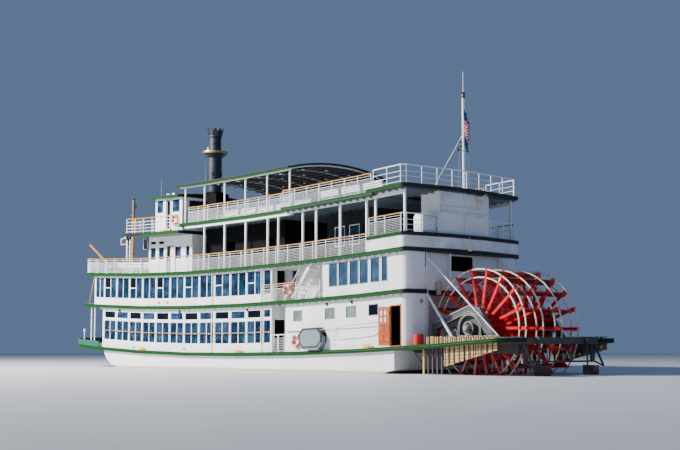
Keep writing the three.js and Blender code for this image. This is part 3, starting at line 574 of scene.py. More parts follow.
def ship_paint(name, tint, roughness=0.42, grime=0.5, streaks=0.5, plates=0.0, gloss=0.5):
    """Brushed ship's paint: faint patches, run-down streaks, specks of wear and, on walls, plate seams."""
    coat = Coat(name, roughness, specular=gloss)
    patches = coat.spots(1.3, 5, 0.35, 0.7)
    body = coat.mix(patches, darker(tint, 0.92), fuller(tint, 1.06))
    runs = coat.spots(3.0, 6, 0.56, 0.78, 0, streaks, stretch=(5.0, 5.0, 0.35))
    body = coat.mix(runs, body, coat.mix(0.5, darker(tint, 0.55), (0.30, 0.20, 0.11)))
    specks = coat.spots(38.0, 3, 0.66, 0.74, 0, grime)
    body = coat.mix(specks, body, (0.16, 0.11, 0.07))
    height = coat.noise(2.2, 3)
    if plates:
        seams = coat.seams(plates, 0.008)
        body = coat.mix(coat.maths("MULTIPLY", seams, 0.35), body, darker(tint, 0.4))
        height = coat.maths("SUBTRACT", height, seams)
    coat.bump(height, 0.35, 0.006)
    return coat.done(body, coat.spots(6.0, 4, 0.3, 0.7, roughness - 0.08, roughness + 0.14))


def deck_coat(name, edge, walked, ceiling, stern=None, posts=None, black_ahead=None):
    """Decks: painted edges, a worn walking surface above and a ceiling below, darkened as painted shade under
    the deck, with faint patches.
    stern is the colour of the edges that face aft, near black as painted shade on the stern; posts (height,
    colour) what hangs lower."""
    coat = Coat(name, 0.5, specular=0.2)
    x, _, up = coat.split(coat.node("ShaderNodeTexCoord").outputs["Normal"])
    patches = coat.spots(1.7, 5, 0.35, 0.7)
    runs = coat.spots(4.0, 5, 0.58, 0.8, 0, 0.5, stretch=(5.0, 5.0, 0.5))
    rim = coat.mix(runs, coat.mix(patches, darker(edge, 0.78), fuller(edge, 1.1)), darker(edge, 0.35))
    # Painted shade: edges that face aft take the near-black stern colour
    if stern:
        rim = coat.mix(coat.ramp(x, -0.8, -0.6, 1, 0), rim, stern)
    along, _, height = coat.split(coat.where)
    if black_ahead:
        rim = coat.mix(coat.ramp(along, black_ahead, black_ahead + 0.01), rim, EDGE_BLACK)
    floor = coat.mix(coat.spots(9.0, 5, 0.4, 0.7), darker(walked, 0.8), lighter(walked, 0.12))
    # Painted shade: the ceiling colour on faces that look down stands for the shade under the deck
    roof = coat.mix(patches, darker(ceiling, 0.85), ceiling)
    body = coat.mix(coat.ramp(up, 0.6, 0.7), rim, floor)
    body = coat.mix(coat.ramp(up, -0.7, -0.6, 1, 0), body, roof)
    if posts:
        body = coat.mix(coat.ramp(height, posts[0], posts[0] + 0.01, 1, 0), body, posts[1])
    coat.bump(coat.noise(60.0, 2), 0.2, 0.004)
    return coat.done(body, coat.spots(7.0, 4, 0.3, 0.7, 0.36, 0.6))


def hull_coat(name, white, band, bottom, bow):
    """Hull: white side with a cream and orange boot line, red-brown bottom, and the bow plate, facing forward
    and down, painted dark slate as painted shade and painted reflection of the water.
    """
    coat = Coat(name, 0.4)
    z = coat.split(coat.where)[2]
    ahead, _, up = coat.split(coat.node("ShaderNodeTexCoord").outputs["Normal"])
    patches = coat.spots(0.9, 5, 0.35, 0.7)
    body = coat.mix(patches, darker(white, 0.93), white)
    runs = coat.spots(2.4, 6, 0.55, 0.8, 0, 0.5, stretch=(5.0, 5.0, 0.3))
    body = coat.mix(runs, body, (0.42, 0.33, 0.22))
    seams = coat.seams(1.22, 0.007)
    body = coat.mix(coat.maths("MULTIPLY", seams, 0.3), body, darker(white, 0.5))
    body = coat.mix(coat.ramp(coat.maths("ADD", z, coat.spots(5, 4, 0, 1, -0.03, 0.03)),
                              WATERLINE + 0.05, WATERLINE + 0.11, 1, 0), body, (0.62, 0.52, 0.38))
    body = coat.mix(coat.ramp(z, WATERLINE + 0.035, WATERLINE + 0.042, 1, 0), body, band)
    body = coat.mix(coat.ramp(z, WATERLINE + 0.005, WATERLINE + 0.012, 1, 0), body, bottom)
    # Painted shade and painted reflection: faces that look forward and down take a dark slate for the shaded
    # bow plate mirroring the water
    slate = coat.mix(patches, darker(bow, 0.8), lighter(bow, 0.1))
    bow_plate_shade = coat.ramp(coat.maths("SUBTRACT", ahead, coat.maths("MULTIPLY", up, 0.6)), 0.35, 0.45)
    body = coat.mix(bow_plate_shade, body, slate)
    coat.bump(coat.maths("SUBTRACT", coat.noise(1.6, 3), seams), 0.4, 0.008)
    return coat.done(body, coat.spots(5.0, 4, 0.3, 0.7, 0.3, 0.5))


def pane_coat(name, tint, reflection_share=0.5, interior_shade=0.0, reflected_sky=(0.06, 0.16, 0.34), depth=0.2):
    """Window glass over a dim cabin: painted reflections of sky and trees in patches and glints, painted
    shade of the dim cabin in darker shapes behind, very smooth.
    """
    coat = Coat(name, 0.07, bending=1.45, specular=0.35)
    # Painted shade: darker shapes for the dim cabin behind the glass
    shapes = coat.spots(5.0, 3, 0.42, 0.6, stretch=(1.6, 1.6, 0.55))
    body = coat.mix(shapes, darker(tint, depth), tint)
    # Painted reflection: patches of sky and trees in the glass
    patches = coat.spots(1.7, 3, 0.45, 0.62, 0, reflection_share, stretch=(1.0, 1.0, 1.6))
    body = coat.mix(patches, body, reflected_sky)
    # Painted highlight: small glints on the glass
    painted_glints = coat.spots(9.0, 3, 0.6, 0.72, 0, reflection_share * 0.5, stretch=(1.0, 1.0, 0.3))
    body = coat.mix(painted_glints, body, lighter(reflected_sky, 0.3))
    # Painted shade: glass darkened almost to black for an unlit cabin behind it
    if interior_shade:
        body = coat.mix(interior_shade, body, (0.003, 0.004, 0.006))
    coat.bump(coat.noise(2.5, 1), 0.06, 0.01)
    return coat.done(body)


def wood_coat(name, tint, along=(0.6, 9.0, 9.0), roughness=0.38, wear=0.4, head=None, gaps=0.0):
    """Varnished or painted wood with its grain along the piece, another colour above the height in head.
    gaps is the pitch of the dark gaps between upright boards."""
    coat = Coat(name, roughness, lacquer=0.25)
    grain = coat.noise(5.0, 7, along, 0.7)
    body = coat.mix(coat.ramp(grain, 0.35, 0.7), darker(tint, 0.66), fuller(tint, 1.12))
    worn = coat.spots(3.0, 6, 0.6, 0.72, 0, wear)
    body = coat.mix(worn, body, (0.35, 0.27, 0.17))
    if head:
        body = coat.mix(coat.ramp(coat.split(coat.where)[2], head[0], head[0] + 0.02), body, head[1])
    if gaps:
        body = coat.mix(coat.seams(gaps, gaps * 0.24), body, (0.035, 0.016, 0.008))
    coat.bump(grain, 0.4, 0.003)
    return coat.done(body, coat.ramp(grain, 0.2, 0.8, roughness - 0.05, roughness + 0.2))


def metal_coat(name, tint, roughness=0.45, rust=0.4, metallic=0.7):
    """Bare or lightly painted machinery steel with oil and rust."""
    coat = Coat(name, roughness, metallic=metallic)
    scratches = coat.noise(24.0, 5, (1.0, 1.0, 3.0))
    body = coat.mix(coat.ramp(scratches, 0.3, 0.75), darker(tint, 0.6), lighter(tint, 0.12))
    body = coat.mix(coat.spots(4.5, 6, 0.54, 0.72, 0, rust), body, (0.20, 0.075, 0.03))
    coat.bump(coat.noise(30.0, 4), 0.25, 0.003)
    return coat.done(body, coat.ramp(scratches, 0.2, 0.8, roughness - 0.1, roughness + 0.2))


def worn_paint(name, tint, under_tint, roughness=0.4, wear=0.55, gloss=0.2):
    """Thick glossy paint on boards and irons, worn through in places."""
    coat = Coat(name, roughness, lacquer=gloss)
    body = coat.mix(coat.spots(2.0, 5, 0.35, 0.7), darker(tint, 0.8), fuller(tint, 1.06))
    body = coat.mix(coat.spots(14.0, 6, 0.58, 0.7, 0, wear, stretch=(1, 1, 2)), body, under_tint)
    coat.bump(coat.noise(22.0, 5), 0.35, 0.004)
    return coat.done(body, coat.spots(8.0, 3, 0.3, 0.7, roughness - 0.12, roughness + 0.15))


def wheel_coat(name, tint):
    """Thick red paint; the boards between the circles are painted dark as painted shade, and red along their
    edges.
    """
    coat = Coat(name, 0.34, lacquer=0.35)
    x, y, z = coat.split(coat.where)
    squares = []
    for axis, centre in ((x, WHEEL_X - ORIGIN_X), (z, WHEEL_Z + DRAFT)):
        away = coat.maths("SUBTRACT", axis, centre * MODEL_SCALE)
        squares.append(coat.maths("MULTIPLY", away, away))
    reach = coat.maths("SQRT", coat.maths("ADD", *squares))
    inner, outer = BOARD_INNER * MODEL_SCALE, BOARD_OUTER * MODEL_SCALE
    on_board = coat.maths("MULTIPLY", coat.ramp(reach, inner + 0.004, inner + 0.008),
                          coat.ramp(reach, outer - 0.016, outer - 0.01, 1, 0))
    # How far across from the nearest flange, where the arm's end keeps its red
    cell = WHEEL_HALF * 2 / 3 * MODEL_SCALE
    share = coat.maths("FRACT", coat.maths("ADD", coat.maths("DIVIDE", y, cell), 10.0))
    between = coat.ramp(coat.maths("ABSOLUTE", coat.maths("SUBTRACT", share, 0.5)), 0.1, 0.12)
    # Painted shade: the mask of board faces that take the dark red, away from the arms' ends
    board_shade = coat.maths("MULTIPLY", on_board, between)
    body = coat.mix(coat.spots(2.0, 5, 0.35, 0.7), darker(tint, 0.8), fuller(tint, 1.1))
    body = coat.mix(coat.spots(14.0, 6, 0.6, 0.72, 0, 0.5, stretch=(1, 1, 2)), body, (0.20, 0.02, 0.015))
    # Painted shade: the dark red that stands for the boards' shaded faces
    dark = coat.mix(coat.spots(6.0, 5, 0.4, 0.7), (0.035, 0.006, 0.006), (0.12, 0.012, 0.010))
    body = coat.mix(coat.maths("MULTIPLY", board_shade, 0.92), body, dark)
    coat.bump(coat.noise(22.0, 5), 0.35, 0.004)
    return coat.done(body, coat.spots(8.0, 3, 0.3, 0.7, 0.24, 0.5))


def cloth_coat(name, tint, weave=420.0, roughness=0.85):
    """Canvas: fine weave, sun-faded patches and soft sheen."""
    coat = Coat(name, roughness, sheen=0.1)
    threads = coat.node("ShaderNodeTexWave", {"Vector": coat.where, "Scale": weave}, wave_profile="SIN")
    patches = coat.spots(2.2, 5, 0.35, 0.7)
    body = coat.mix(patches, darker(tint, 0.85), fuller(tint, 1.15))
    body = coat.mix(coat.maths("MULTIPLY", threads.outputs["Fac"], 0.12), body, darker(tint, 0.5))
    coat.bump(threads.outputs["Fac"], 0.15, 0.001)
    return coat.done(body, coat.ramp(patches, 0, 1, roughness - 0.1, roughness + 0.05))


def mix_coats(paint):
    """Makes every finish of the boat from the user's colours."""
    COATS.update(
        wall=ship_paint("white_wall_paint", paint.white, 0.42, 0.25, 0.22, 0.61),
        white=ship_paint("white_fitting_paint", paint.white, 0.42, 0.4, 0.3),
        screen=ship_paint("stern_screen_paint", lighter(paint.white, 0.1), 0.4, 0.3, 0.35),
        rail=ship_paint("rail_paint", paint.white, 0.4, 0.35, 0.2),
        green=ship_paint("green_paint", paint.green, 0.5, 0.3, 0.3, gloss=0.12),
        # Painted shade in part: the bulwark's teal is green paint with the blue of its shade
        teal=ship_paint("teal_paint", paint.teal, 0.42, 0.4, 0.4),
        black=ship_paint("black_paint", (0.012, 0.012, 0.014), 0.5, 0.3, 0.35),
        # Near-black coat: painted shade on the service block and behind the doorways, standing for dim rooms;
        # the funnel casing takes it too
        dark=ship_paint("near_black_paint", (0.004, 0.004, 0.005), 0.8, 0.1, 0.1, gloss=0.1),
        # Dark grey coat: painted shade on the centre cabin, which stands in shade under deck four; the awning
        # purlins take it too
        shade=ship_paint("painted_shade_dark_grey", (0.02, 0.022, 0.026), 0.7, 0.2, 0.2, gloss=0.1),
        slate=ship_paint("slate_paint", (0.17, 0.22, 0.26), 0.45, 0.35, 0.3),
        grey=ship_paint("machinery_paint", (0.075, 0.095, 0.105), 0.45, 0.7, 0.6),
        yellow=ship_paint("yellow_paint", (0.85, 0.42, 0.0), 0.45, 0.4, 0.3),
        scarlet=ship_paint("scarlet_paint", (0.62, 0.02, 0.015), 0.38, 0.4, 0.3),
        # Deck coats: their ceilings are darkened as painted shade under the decks, and the first two paint
        # their aft-facing edges near black as painted shade on the stern
        deck=deck_coat("deck_paint", paint.green, WALKED_GREY, (0.08, 0.08, 0.09), EDGE_BLACK),
        bridge=deck_coat("bridge_deck_paint", paint.green, WALKED_GREY, SHADED_CEILING,
                         EDGE_BLACK, (BRIDGE_UNDER, paint.white), BRIDGE_BLACK),
        tray=deck_coat("after_deck_paint", paint.white, WALKED_GREY, SHADED_CEILING),
        # The last hull colour is the bow plate's dark slate: painted shade and painted reflection of the
        # water
        hull=hull_coat("hull_paint", paint.white, (0.62, 0.45, 0.28), (0.16, 0.045, 0.03),
                       (0.05, 0.07, 0.09)),
        # The panes' tints and patches stand for reflected sky and trees and the dim rooms behind: painted
        # reflection and painted shade
        glass=pane_coat("blue_glass", paint.glass, 0.55, 0.0, (0.018, 0.048, 0.11), 0.45),
        glass_dark=pane_coat("dark_glass", darker(paint.glass, 0.3), 0.15, 0.85),
        glass_pale=pane_coat("pale_glass", (0.17, 0.23, 0.22), 0.4, 0.0, (0.26, 0.32, 0.30), 0.7),
        glass_white=pane_coat("bright_glass", (0.75, 0.79, 0.80), 0.3, 0.0, (0.88, 0.90, 0.90), 0.8),
        glass_lounge=pane_coat("lounge_glass", (0.028, 0.062, 0.12), 0.5, 0.0, (0.045, 0.10, 0.18), 0.75),
        glass_hazy=pane_coat("hazy_glass", fuller(paint.glass, 1.4), 0.6, 0.0, (0.035, 0.085, 0.16), 0.45),
        glass_green=pane_coat("green_glass", (0.006, 0.028, 0.055), 0.6, 0.0, (0.02, 0.065, 0.12), 0.45),
        varnish=wood_coat("varnished_wood", paint.varnish),
        plank=wood_coat("door_planks", paint.orange, UPRIGHT_GRAIN, 0.42, 0.25),
        spar=wood_coat("spar_wood", darker(paint.varnish, 0.6), UPRIGHT_GRAIN, 0.5, 0.5),
        cream=worn_paint("cream_iron_paint", paint.cream, (0.40, 0.20, 0.09), 0.42, 0.3),
        # Painted reflection in part: the skirt's golden tone stands partly for sunlight thrown up off the
        # water onto it
        slat=wood_coat("skirt_slats", (0.80, 0.52, 0.17), (9.0, 9.0, 0.8), 0.55, 0.5, None, 0.1725),
        red=worn_paint("wheel_fitting_paint", paint.red, (0.16, 0.03, 0.02), 0.34, 0.6, 0.35),
        wheel=wheel_coat("wheel_paint", paint.red),
        steel=metal_coat("dark_steel", (0.22, 0.23, 0.24)),
        bright=metal_coat("bright_steel", (0.55, 0.56, 0.57), 0.3, 0.1, 0.9),
        rusty=metal_coat("rusty_steel", (0.028, 0.024, 0.023), 0.65, 0.5, 0.1),
        brass=metal_coat("brass_band", (0.72, 0.45, 0.13), 0.32, 0.15, 0.9),
        canvas=cloth_coat("black_canvas", (0.006, 0.006, 0.007)),
        funnel=ship_paint("funnel_paint", (0.016, 0.021, 0.034), 0.42, 0.3, 0.4),
        mast=wood_coat("mast_wood", (0.66, 0.27, 0.04), UPRIGHT_GRAIN, 0.5, 0.5,
                       (MAST_TOP, (0.17, 0.12, 0.085))),
        weathered=metal_coat("weathered_grey_paint", (0.30, 0.30, 0.28), 0.55, 0.5, 0.1),
        stripe_red=cloth_coat("red_stripe_cloth", (0.55, 0.02, 0.03), 500.0),
        stripe_white=cloth_coat("white_stripe_cloth", (0.80, 0.79, 0.76), 500.0),
        rubber=metal_coat("black_rubber", (0.02, 0.02, 0.022), 0.6, 0.05, 0.0),
        rope=wood_coat("rope_fibre", (0.62, 0.50, 0.32), (3.0, 3.0, 30.0), 0.8, 0.1),
        ring_red=worn_paint("life_ring_red", (0.72, 0.04, 0.04), (0.5, 0.2, 0.15), 0.5, 0.2, 0.1),
        ring_white=worn_paint("life_ring_white", (0.85, 0.84, 0.80), (0.5, 0.46, 0.4), 0.5, 0.2, 0.1),
        blue=cloth_coat("blue_cloth", (0.02, 0.04, 0.2)),
    )


def sides(name):
    return f"{name}_port", f"{name}_starboard"


# service_block and centre_cabin take near-black coats as painted shade of their dim insides
NODE_COATS = {
    "hull": ("hull",), "teal": ("bow_bulwark",), "tray": ("deck_3_aft",), "bridge": ("bridge_deck",),
    "deck": ("main_deck", "deck_2", "deck_3", "deck_4", "pilothouse_roof"),
    "dark": ("service_block",), "shade": ("centre_cabin",), "screen": ("stern_screen",),
    "canvas": ("awning_roof",), "slate": ("side_drum",), "funnel": ("funnel",), "mast": ("bow_mast",),
    "spar": ("bow_boom",), "wheel": ("wheel_arms_and_boards",), "steel": ("wheel_shaft",),
    "cream": tuple(f"wheel_circles_{number}" for number in range(1, 5)),
    "rusty": ("wheel_frame", *sides("rudder"), *sides("monkey_rudder")),
    "grey": sides("drive_housing"), "slat": sides("deck_skirt"), "plank": sides("engine_door"),
    "white": ("stern_mast", *sides("stern_post"), *sides("deck_3_columns"), *sides("awning_frame")),
}


class BOAT_OT_frame_finish(Operator):
    """Mix the boat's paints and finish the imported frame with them"""

    bl_idname = "boat.frame_finish"
    bl_label = "Paint the Frame"

    def execute(self, context):
        mix_coats(context.scene.boat_paint)
        coat_of = {node: coat for coat, nodes in NODE_COATS.items() for node in nodes}
        for name, obj in frame["nodes"].items():
            obj.data.materials.clear()
            obj.data.materials.append(COATS[coat_of.get(name, "wall")])
        return {"FINISHED"}


# Windows and doors

BLUE_PANE, DARK_PANE, PALE_PANE, HAZY_PANE, GREEN_PANE, LOUNGE_PANE = 1, 2, 3, 4, 5, 6
PANES = ("glass", "glass_dark", "glass_pale", "glass_hazy", "glass_green", "glass_lounge")
# The narrow doors on both sides of the pilothouse
BRIDGE_DOOR_X = 27.135


def windows(width, height, rim, places, pane=BLUE_PANE, corner=0.0):
    """Windows that face port at their places: the face is inset, pushed in, and holds the glass."""
    obj = block((-width / 2, -0.05, -height / 2), (width / 2, 0, height / 2))
    pick_faces(obj, facing(PORT))
    bpy.ops.mesh.inset(thickness=rim)
    if corner:
        bpy.ops.mesh.bevel(offset=corner, segments=4, affect="VERTICES")
    push((0, -0.03, 0))
    return copies(number_picked(obj, pane), places)


def middles(start, pitch, count):
    return [start + (i + 0.5) * pitch for i in range(count)]


def bow_places(x, sides, z):
    """Places on a wall that faces the bow."""
    return [at(x, y, z, -QUARTER_TURN) for y in sides]


class BOAT_OT_cabin_windows(Operator):
    """Glaze the two passenger cabins: paired tall panes, clerestory lights and sash windows"""

    bl_idname = "boat.cabin_windows"
    bl_label = "Cabin Windows"

    def execute(self, context):
        face = WALL_SIDE - 0.02
        bays = middles(BAY_AFT, BAY_PITCH, BAY_COUNT)
        narrow_x, narrow = sum(NARROW_WINDOW) / 2, NARROW_WINDOW[1] - NARROW_WINDOW[0]
        light = BAY_PITCH - MULLION

        middle, upper = top(DECK_1) + 1.34, top(DECK_1) + 2.525
        paired = [at(x + side * light / 4, face, middle) for x in bays for side in (-1, 1)]
        clerestory = [at(x, face, upper) for x in bays]
        parts = [windows(light / 2, 1.52, 0.035, paired[i::3], pane)
                 for i, pane in enumerate((BLUE_PANE, HAZY_PANE, GREEN_PANE))]
        parts += [windows(light - 0.1, 0.55, 0.04, clerestory[i::2], pane)
                  for i, pane in enumerate((DARK_PANE, HAZY_PANE))]
        parts += [windows(narrow, 0.55, 0.04, [at(narrow_x, face, upper)]),
                  windows(narrow, 1.52, 0.035, [at(narrow_x, face, middle)]),
                  windows(1.3, 1.2, 0.06, bow_places(CABIN_1_FRONT - 0.02, (2.25, 3.95), top(DECK_1) + 1.5))]
        finish_pair(parts, "cabin_1_windows", ["wall", *PANES])

        low, high = top(DECK_2) + 0.52, top(DECK_2) + 2.12
        tall, half = high - low, (high - low) / 2

        def panes(width, height, xs, z, pane=BLUE_PANE):
            return windows(width, height, 0.032, [at(x, face, z) for x in xs], pane)

        ahead, astern = ([x + side * light / 4 for x in bays] for side in (1, -1))
        # Every second bay has a sash ahead; the three foremost of them stand open at the top
        sashes = ahead[0::2]
        fore_width = (FORE_WINDOW[1] - FORE_WINDOW[0]) / 2
        fore = [FORE_WINDOW[0] + fore_width * share for share in (0.5, 1.5)]
        parts = [
            panes(light / 2, tall, ahead[1::2], low + half),
            panes(light / 2, tall, astern[0::2], low + half, HAZY_PANE),
            panes(light / 2, tall, astern[1::2], low + half, GREEN_PANE),
            panes(light / 2, half, sashes, low + half / 2),
            panes(light / 2, half, sashes[:3], high - half / 2),
            panes(light / 2, half, sashes[3:], high - half / 2, DARK_PANE),
            panes(fore_width, tall, fore, low + half, HAZY_PANE),
            panes(narrow, tall, [narrow_x], low + half),
            windows(1.35, 1.38, 0.06, bow_places(CABIN_2_FRONT - 0.02, (0.925, 2.525, 4.125), low + 0.89)),
        ]
        finish_pair(parts, "cabin_2_windows", ["wall", *PANES])
        return {"FINISHED"}


class BOAT_OT_aft_windows(Operator):
    """Glaze the after lounge and the engine room"""

    bl_idname = "boat.aft_windows"
    bl_label = "After Windows"

    def execute(self, context):
        face = WALL_SIDE + 0.015
        for name, spans, kinds, height, middle, rim, corner in (
            ("after_lounge_windows", AFT_WINDOWS, [LOUNGE_PANE] * 6, 1.45, top(DECK_2) + 1.325, 0.05, 0.09),
            ("engine_room_windows", ENGINE_WINDOWS, [PALE_PANE] * 3 + [DARK_PANE], 0.7, top(DECK_1) + 2.25,
             0.055, 0.05),
        ):
            parts = [windows(x1 - x0, height, rim, [at((x0 + x1) / 2, face, middle)], kind, corner)
                     for (x0, x1), kind in zip(spans, kinds)]
            finish_pair(parts, name, ["slate", *PANES])
        return {"FINISHED"}


class BOAT_OT_upper_windows(Operator):
    """Glaze the crew cabin, the pilothouse and the cabin amid deck three"""

    bl_idname = "boat.upper_windows"
    bl_label = "Upper Windows"

    def execute(self, context):
        floor = top(DECK_3)
        low, high = (1.04, 2.04), (2.22, 2.52)
        parts = []
        for x0, x1, (z0, z1) in ((27.4, 28.18, low), (27.4, 28.18, high), (26.3, 27.08, low),
                                 (26.3, 27.08, high), (24.05, 24.85, low), (22.95, 23.5, low)):
            place = at((x0 + x1) / 2, 3.49, floor + (z0 + z1) / 2)
            parts.append(windows(x1 - x0, z1 - z0, 0.05, [place], DARK_PANE if z0 > 2 else BLUE_PANE))
        parts.append(windows(1.2, 1.2, 0.06, bow_places(28.38, (0.9, 2.5), floor + 1.6)))
        finish_pair(parts, "crew_cabin_windows", ["wall", *PANES])

        floor = top(BRIDGE)
        parts = [
            windows(1.0, 1.2, 0.05, [at(28.27, 2.58, floor + 2.1)], HAZY_PANE),
            windows(1.1, 1.2, 0.05, [at(26.12, 2.58, floor + 2.1)], HAZY_PANE),
            windows(1.05, 1.05, 0.05, bow_places(28.88, (0.645, 1.825), floor + 2.125)),
            windows(1.5, 1.0, 0.06, [at(25.32, 1.25, floor + 2.15, QUARTER_TURN)]),
            windows(0.57, 1.2, 0.05, [at(BRIDGE_DOOR_X, 2.56, floor + 2.05)], DARK_PANE),
            windows(0.57, 1.22, 0.05, [at(BRIDGE_DOOR_X, 2.56, floor + 0.84)], DARK_PANE),
        ]
        finish_pair(parts, "pilothouse_windows", ["white", *PANES])
        cabin = windows(1.0, 1.3, 0.06, [at(x, 2.28, top(DECK_3) + 1.65) for x in (7.9, 6.5)])
        finish_pair(cabin, "centre_cabin_windows", ["wall", *PANES])
        return {"FINISHED"}


def door_frame(x, y, z, width, height, turn=0.0):
    """Jambs, head and sill that stand proud of a wall, round a doorway about one place."""
    half, rim = width / 2, 0.08
    frame = joined([
        block((-half - rim, -0.05, 0.02), (-half, 0.02, height + rim), 0.01),
        block((half, -0.05, 0.02), (half + rim, 0.02, height + rim), 0.01),
        block((-half - rim, -0.05, height), (half + rim, 0.02, height + rim), 0.01),
        block((-half - rim, -0.05, 0.0), (half + rim, 0.03, 0.05), 0.008),
    ])
    return copies(frame, [at(x, y, z, turn)])


class BOAT_OT_doorways(Operator):
    """Frame the doorways, put near-black backs behind them as painted shade of the rooms, and hang the cabin
    doors
    """

    bl_idname = "boat.doorways"
    bl_label = "Doorways"

    def execute(self, context):
        floor_1, floor_2, floor_3 = top(DECK_1), top(DECK_2), top(DECK_3)
        low, high = floor_1 + 0.06, floor_1 + 2.35
        x0, x1 = DOORWAY
        face, back = WALL_SIDE, WALL_SIDE - 0.1
        jambs = [
            block((x0 - 0.07, back, low - 0.03), (x0, face + 0.01, high + 0.07), 0.008),
            block((x1 - 0.02, back, low - 0.03), (x1 + 0.02, face + 0.004, high + 0.07), 0.008),
            block((x0 - 0.07, back, high), (x1 + 0.02, face + 0.01, high + 0.07), 0.008),
            block((x0 - 0.07, back, low - 0.06), (x1 + 0.02, face + 0.03, low), 0.008),
        ]
        finish_pair(jambs, "engine_door_frames", "plank")

        thick = 0.04
        inside = CABIN_AFT + 0.45
        # Painted shade: near-black backs behind the doorways stand for the dim rooms beyond
        backs = [
            block((x0 - 0.1, face - 0.5, low - 0.05), (x1 + 0.1, face - 0.46, high + 0.1)),
            block((10.4, RECESS_SIDE - 0.5, floor_2), (11.2, RECESS_SIDE - 0.46, floor_2 + 2.1)),
            block((25.1, 2.9, floor_3), (26.05, 2.94, floor_3 + 2.15)),
            block((4.85, 1.8, floor_3), (5.75, 1.84, floor_3 + 2.25)),
            block((inside, 3.66, floor_1), (inside + thick, 4.84, floor_1 + 2.2)),
            block((inside, 3.66, floor_2), (inside + thick, 4.64, floor_2 + 2.1)),
            block((9.9, 1.1, floor_1), (9.9 + thick, 2.3, floor_1 + 2.2)),
        ]
        finish_pair(backs, "doorway_shades", "dark")

        frames = [
            door_frame(25.585, 3.52, floor_3, 0.67, 2.08),
            door_frame(10.8, RECESS_SIDE + 0.02, floor_2, 0.64, 2.05),
            door_frame(CABIN_AFT - 0.02, 4.15, floor_2, 0.74, 2.05, QUARTER_TURN),
            door_frame(CABIN_AFT - 0.02, 4.265, floor_1, 0.93, 2.1, QUARTER_TURN),
            door_frame(BRIDGE_DOOR_X, 2.62, top(BRIDGE) + 0.12, 0.57, 2.56),
        ]
        finish_pair(frames, "cabin_door_frames", "white")

        leaf = block((-0.3, -0.045, 0.07), (0.3, 0, 2.02))
        recess(leaf, PORT, 0.09, (0, -0.015, 0))
        leaf = joined([leave_edit(), windows(0.34, 0.62, 0.03, [at(0, 0.006, 1.5)], DARK_PANE)])
        doors = copies(leaf, [at(10.13, RECESS_SIDE + 0.11, floor_2, 0.12), at(25.05, 3.59, floor_3)])
        finish_pair(doors, "cabin_doors", ["white", *PANES])
        return {"FINISHED"}


# Railings

# How far out the rails run, how far along deck four where it is narrower, and where that starts
RAIL_SIDE, NARROW_RAIL_SIDE = SIDE - 0.12, 4.34
NARROWS_AT = 10.28


def bow_line(shoulder, tip, side, aft, steps=12):
    """A deck's rail line from port aft, round the bow, to starboard aft."""
    turns = [math.pi / 2 - math.pi * i / steps for i in range(steps + 1)]
    bow = [(shoulder + (tip - shoulder) * math.cos(turn), side * math.sin(turn)) for turn in turns]
    return [(aft, side), *bow, (aft, -side)]


STERN_CORNER = [(-0.5, RAIL_SIDE), (-0.73, 4.85)]


def mirrored(line):
    return [(x, -y) for x, y in reversed(line)]


DECK_4_PORT = [(2.0, RAIL_SIDE), (NARROWS_AT, RAIL_SIDE), (NARROWS_AT, NARROW_RAIL_SIDE),
               (21.9, NARROW_RAIL_SIDE)]
RAIL_LINES = {
    "deck_3_railing": (bow_line(34.4, 36.58, RAIL_SIDE, 2.4), DECK_3),
    "deck_4_railing": ([*DECK_4_PORT, *mirrored(DECK_4_PORT)], DECK_4),
    "after_deck_railing_port": ([(2.2, RAIL_SIDE), (-0.5, RAIL_SIDE)], DECK_3_AFT),
    "after_deck_railing_starboard": ([(-0.5, -RAIL_SIDE), (2.2, -RAIL_SIDE)], DECK_3_AFT),
    "landing_railing_port": ([(6.65, RAIL_SIDE), (12.4, RAIL_SIDE)], DECK_2),
    "landing_railing_starboard": ([(12.4, -RAIL_SIDE), (6.65, -RAIL_SIDE)], DECK_2),
}
SCREEN_EDGE = (-0.9, 2.35)
STERN_RAIL_LINES = {
    "deck_4_stern_railing": ([(1.8, RAIL_SIDE), *STERN_CORNER, (-1.08, 0), *mirrored(STERN_CORNER),
                              (1.8, -RAIL_SIDE)], DECK_4_AFT),
    "deck_3_stern_railing_port": ([*STERN_CORNER, SCREEN_EDGE], DECK_3_AFT),
    "deck_3_stern_railing_starboard": (mirrored([*STERN_CORNER, SCREEN_EDGE]), DECK_3_AFT),
}


def spaced(line, pitch):
    """Places about one pitch apart along a line, each (x, y, heading)."""
    legs = [(Vector(a), Vector(b)) for a, b in zip(line, line[1:])]
    places = []
    for start, end in legs:
        way = end - start
        count = max(1, round(way.length / pitch))
        heading = math.atan2(way.y, way.x)
        places += [(*(start + way * (i / count)), heading) for i in range(count)]
    return [*places, (*line[-1], heading)]


def at_stations(line):
    """The line with a point added wherever it crosses a station, so that it can follow the sheer."""
    points = [line[0]]
    for (x0, y0), (x1, y1) in zip(line, line[1:]):
        crossed = sorted((s for s in STATIONS if min(x0, x1) + 0.01 < s < max(x0, x1) - 0.01),
                         reverse=x1 < x0)
        points += [(s, y0 + (y1 - y0) * (s - x0) / (x1 - x0)) for s in crossed]
        points.append((x1, y1))
    return points


def level_pipe(line, z, radius, sides=6, closed=False):
    return pipe([(x, y, z) for x, y in at_stations(line)], radius, sides, closed)


def rail_post(height, radius):
    """A round post with a foot flange and a socket for the handrail."""
    parts = [
        rod((0, 0, 0), (0, 0, height), radius),
        rod((0, 0, 0), (0, 0, 0.025), radius * 2.2),
        rod((0, 0, height - 0.06), (0, 0, height), radius * 1.4),
    ]
    return joined(parts)


def rail_parts(line, floor, post, pitch, bars):
    """Posts along a line and level bars: post is (height, radius), a bar (height, radius, sides)."""
    posts = copies(rail_post(*post), [at(x, y, floor) for x, y, _ in spaced(line, pitch)])
    return [posts, *(level_pipe(line, floor + z, radius, sides) for z, radius, sides in bars)]


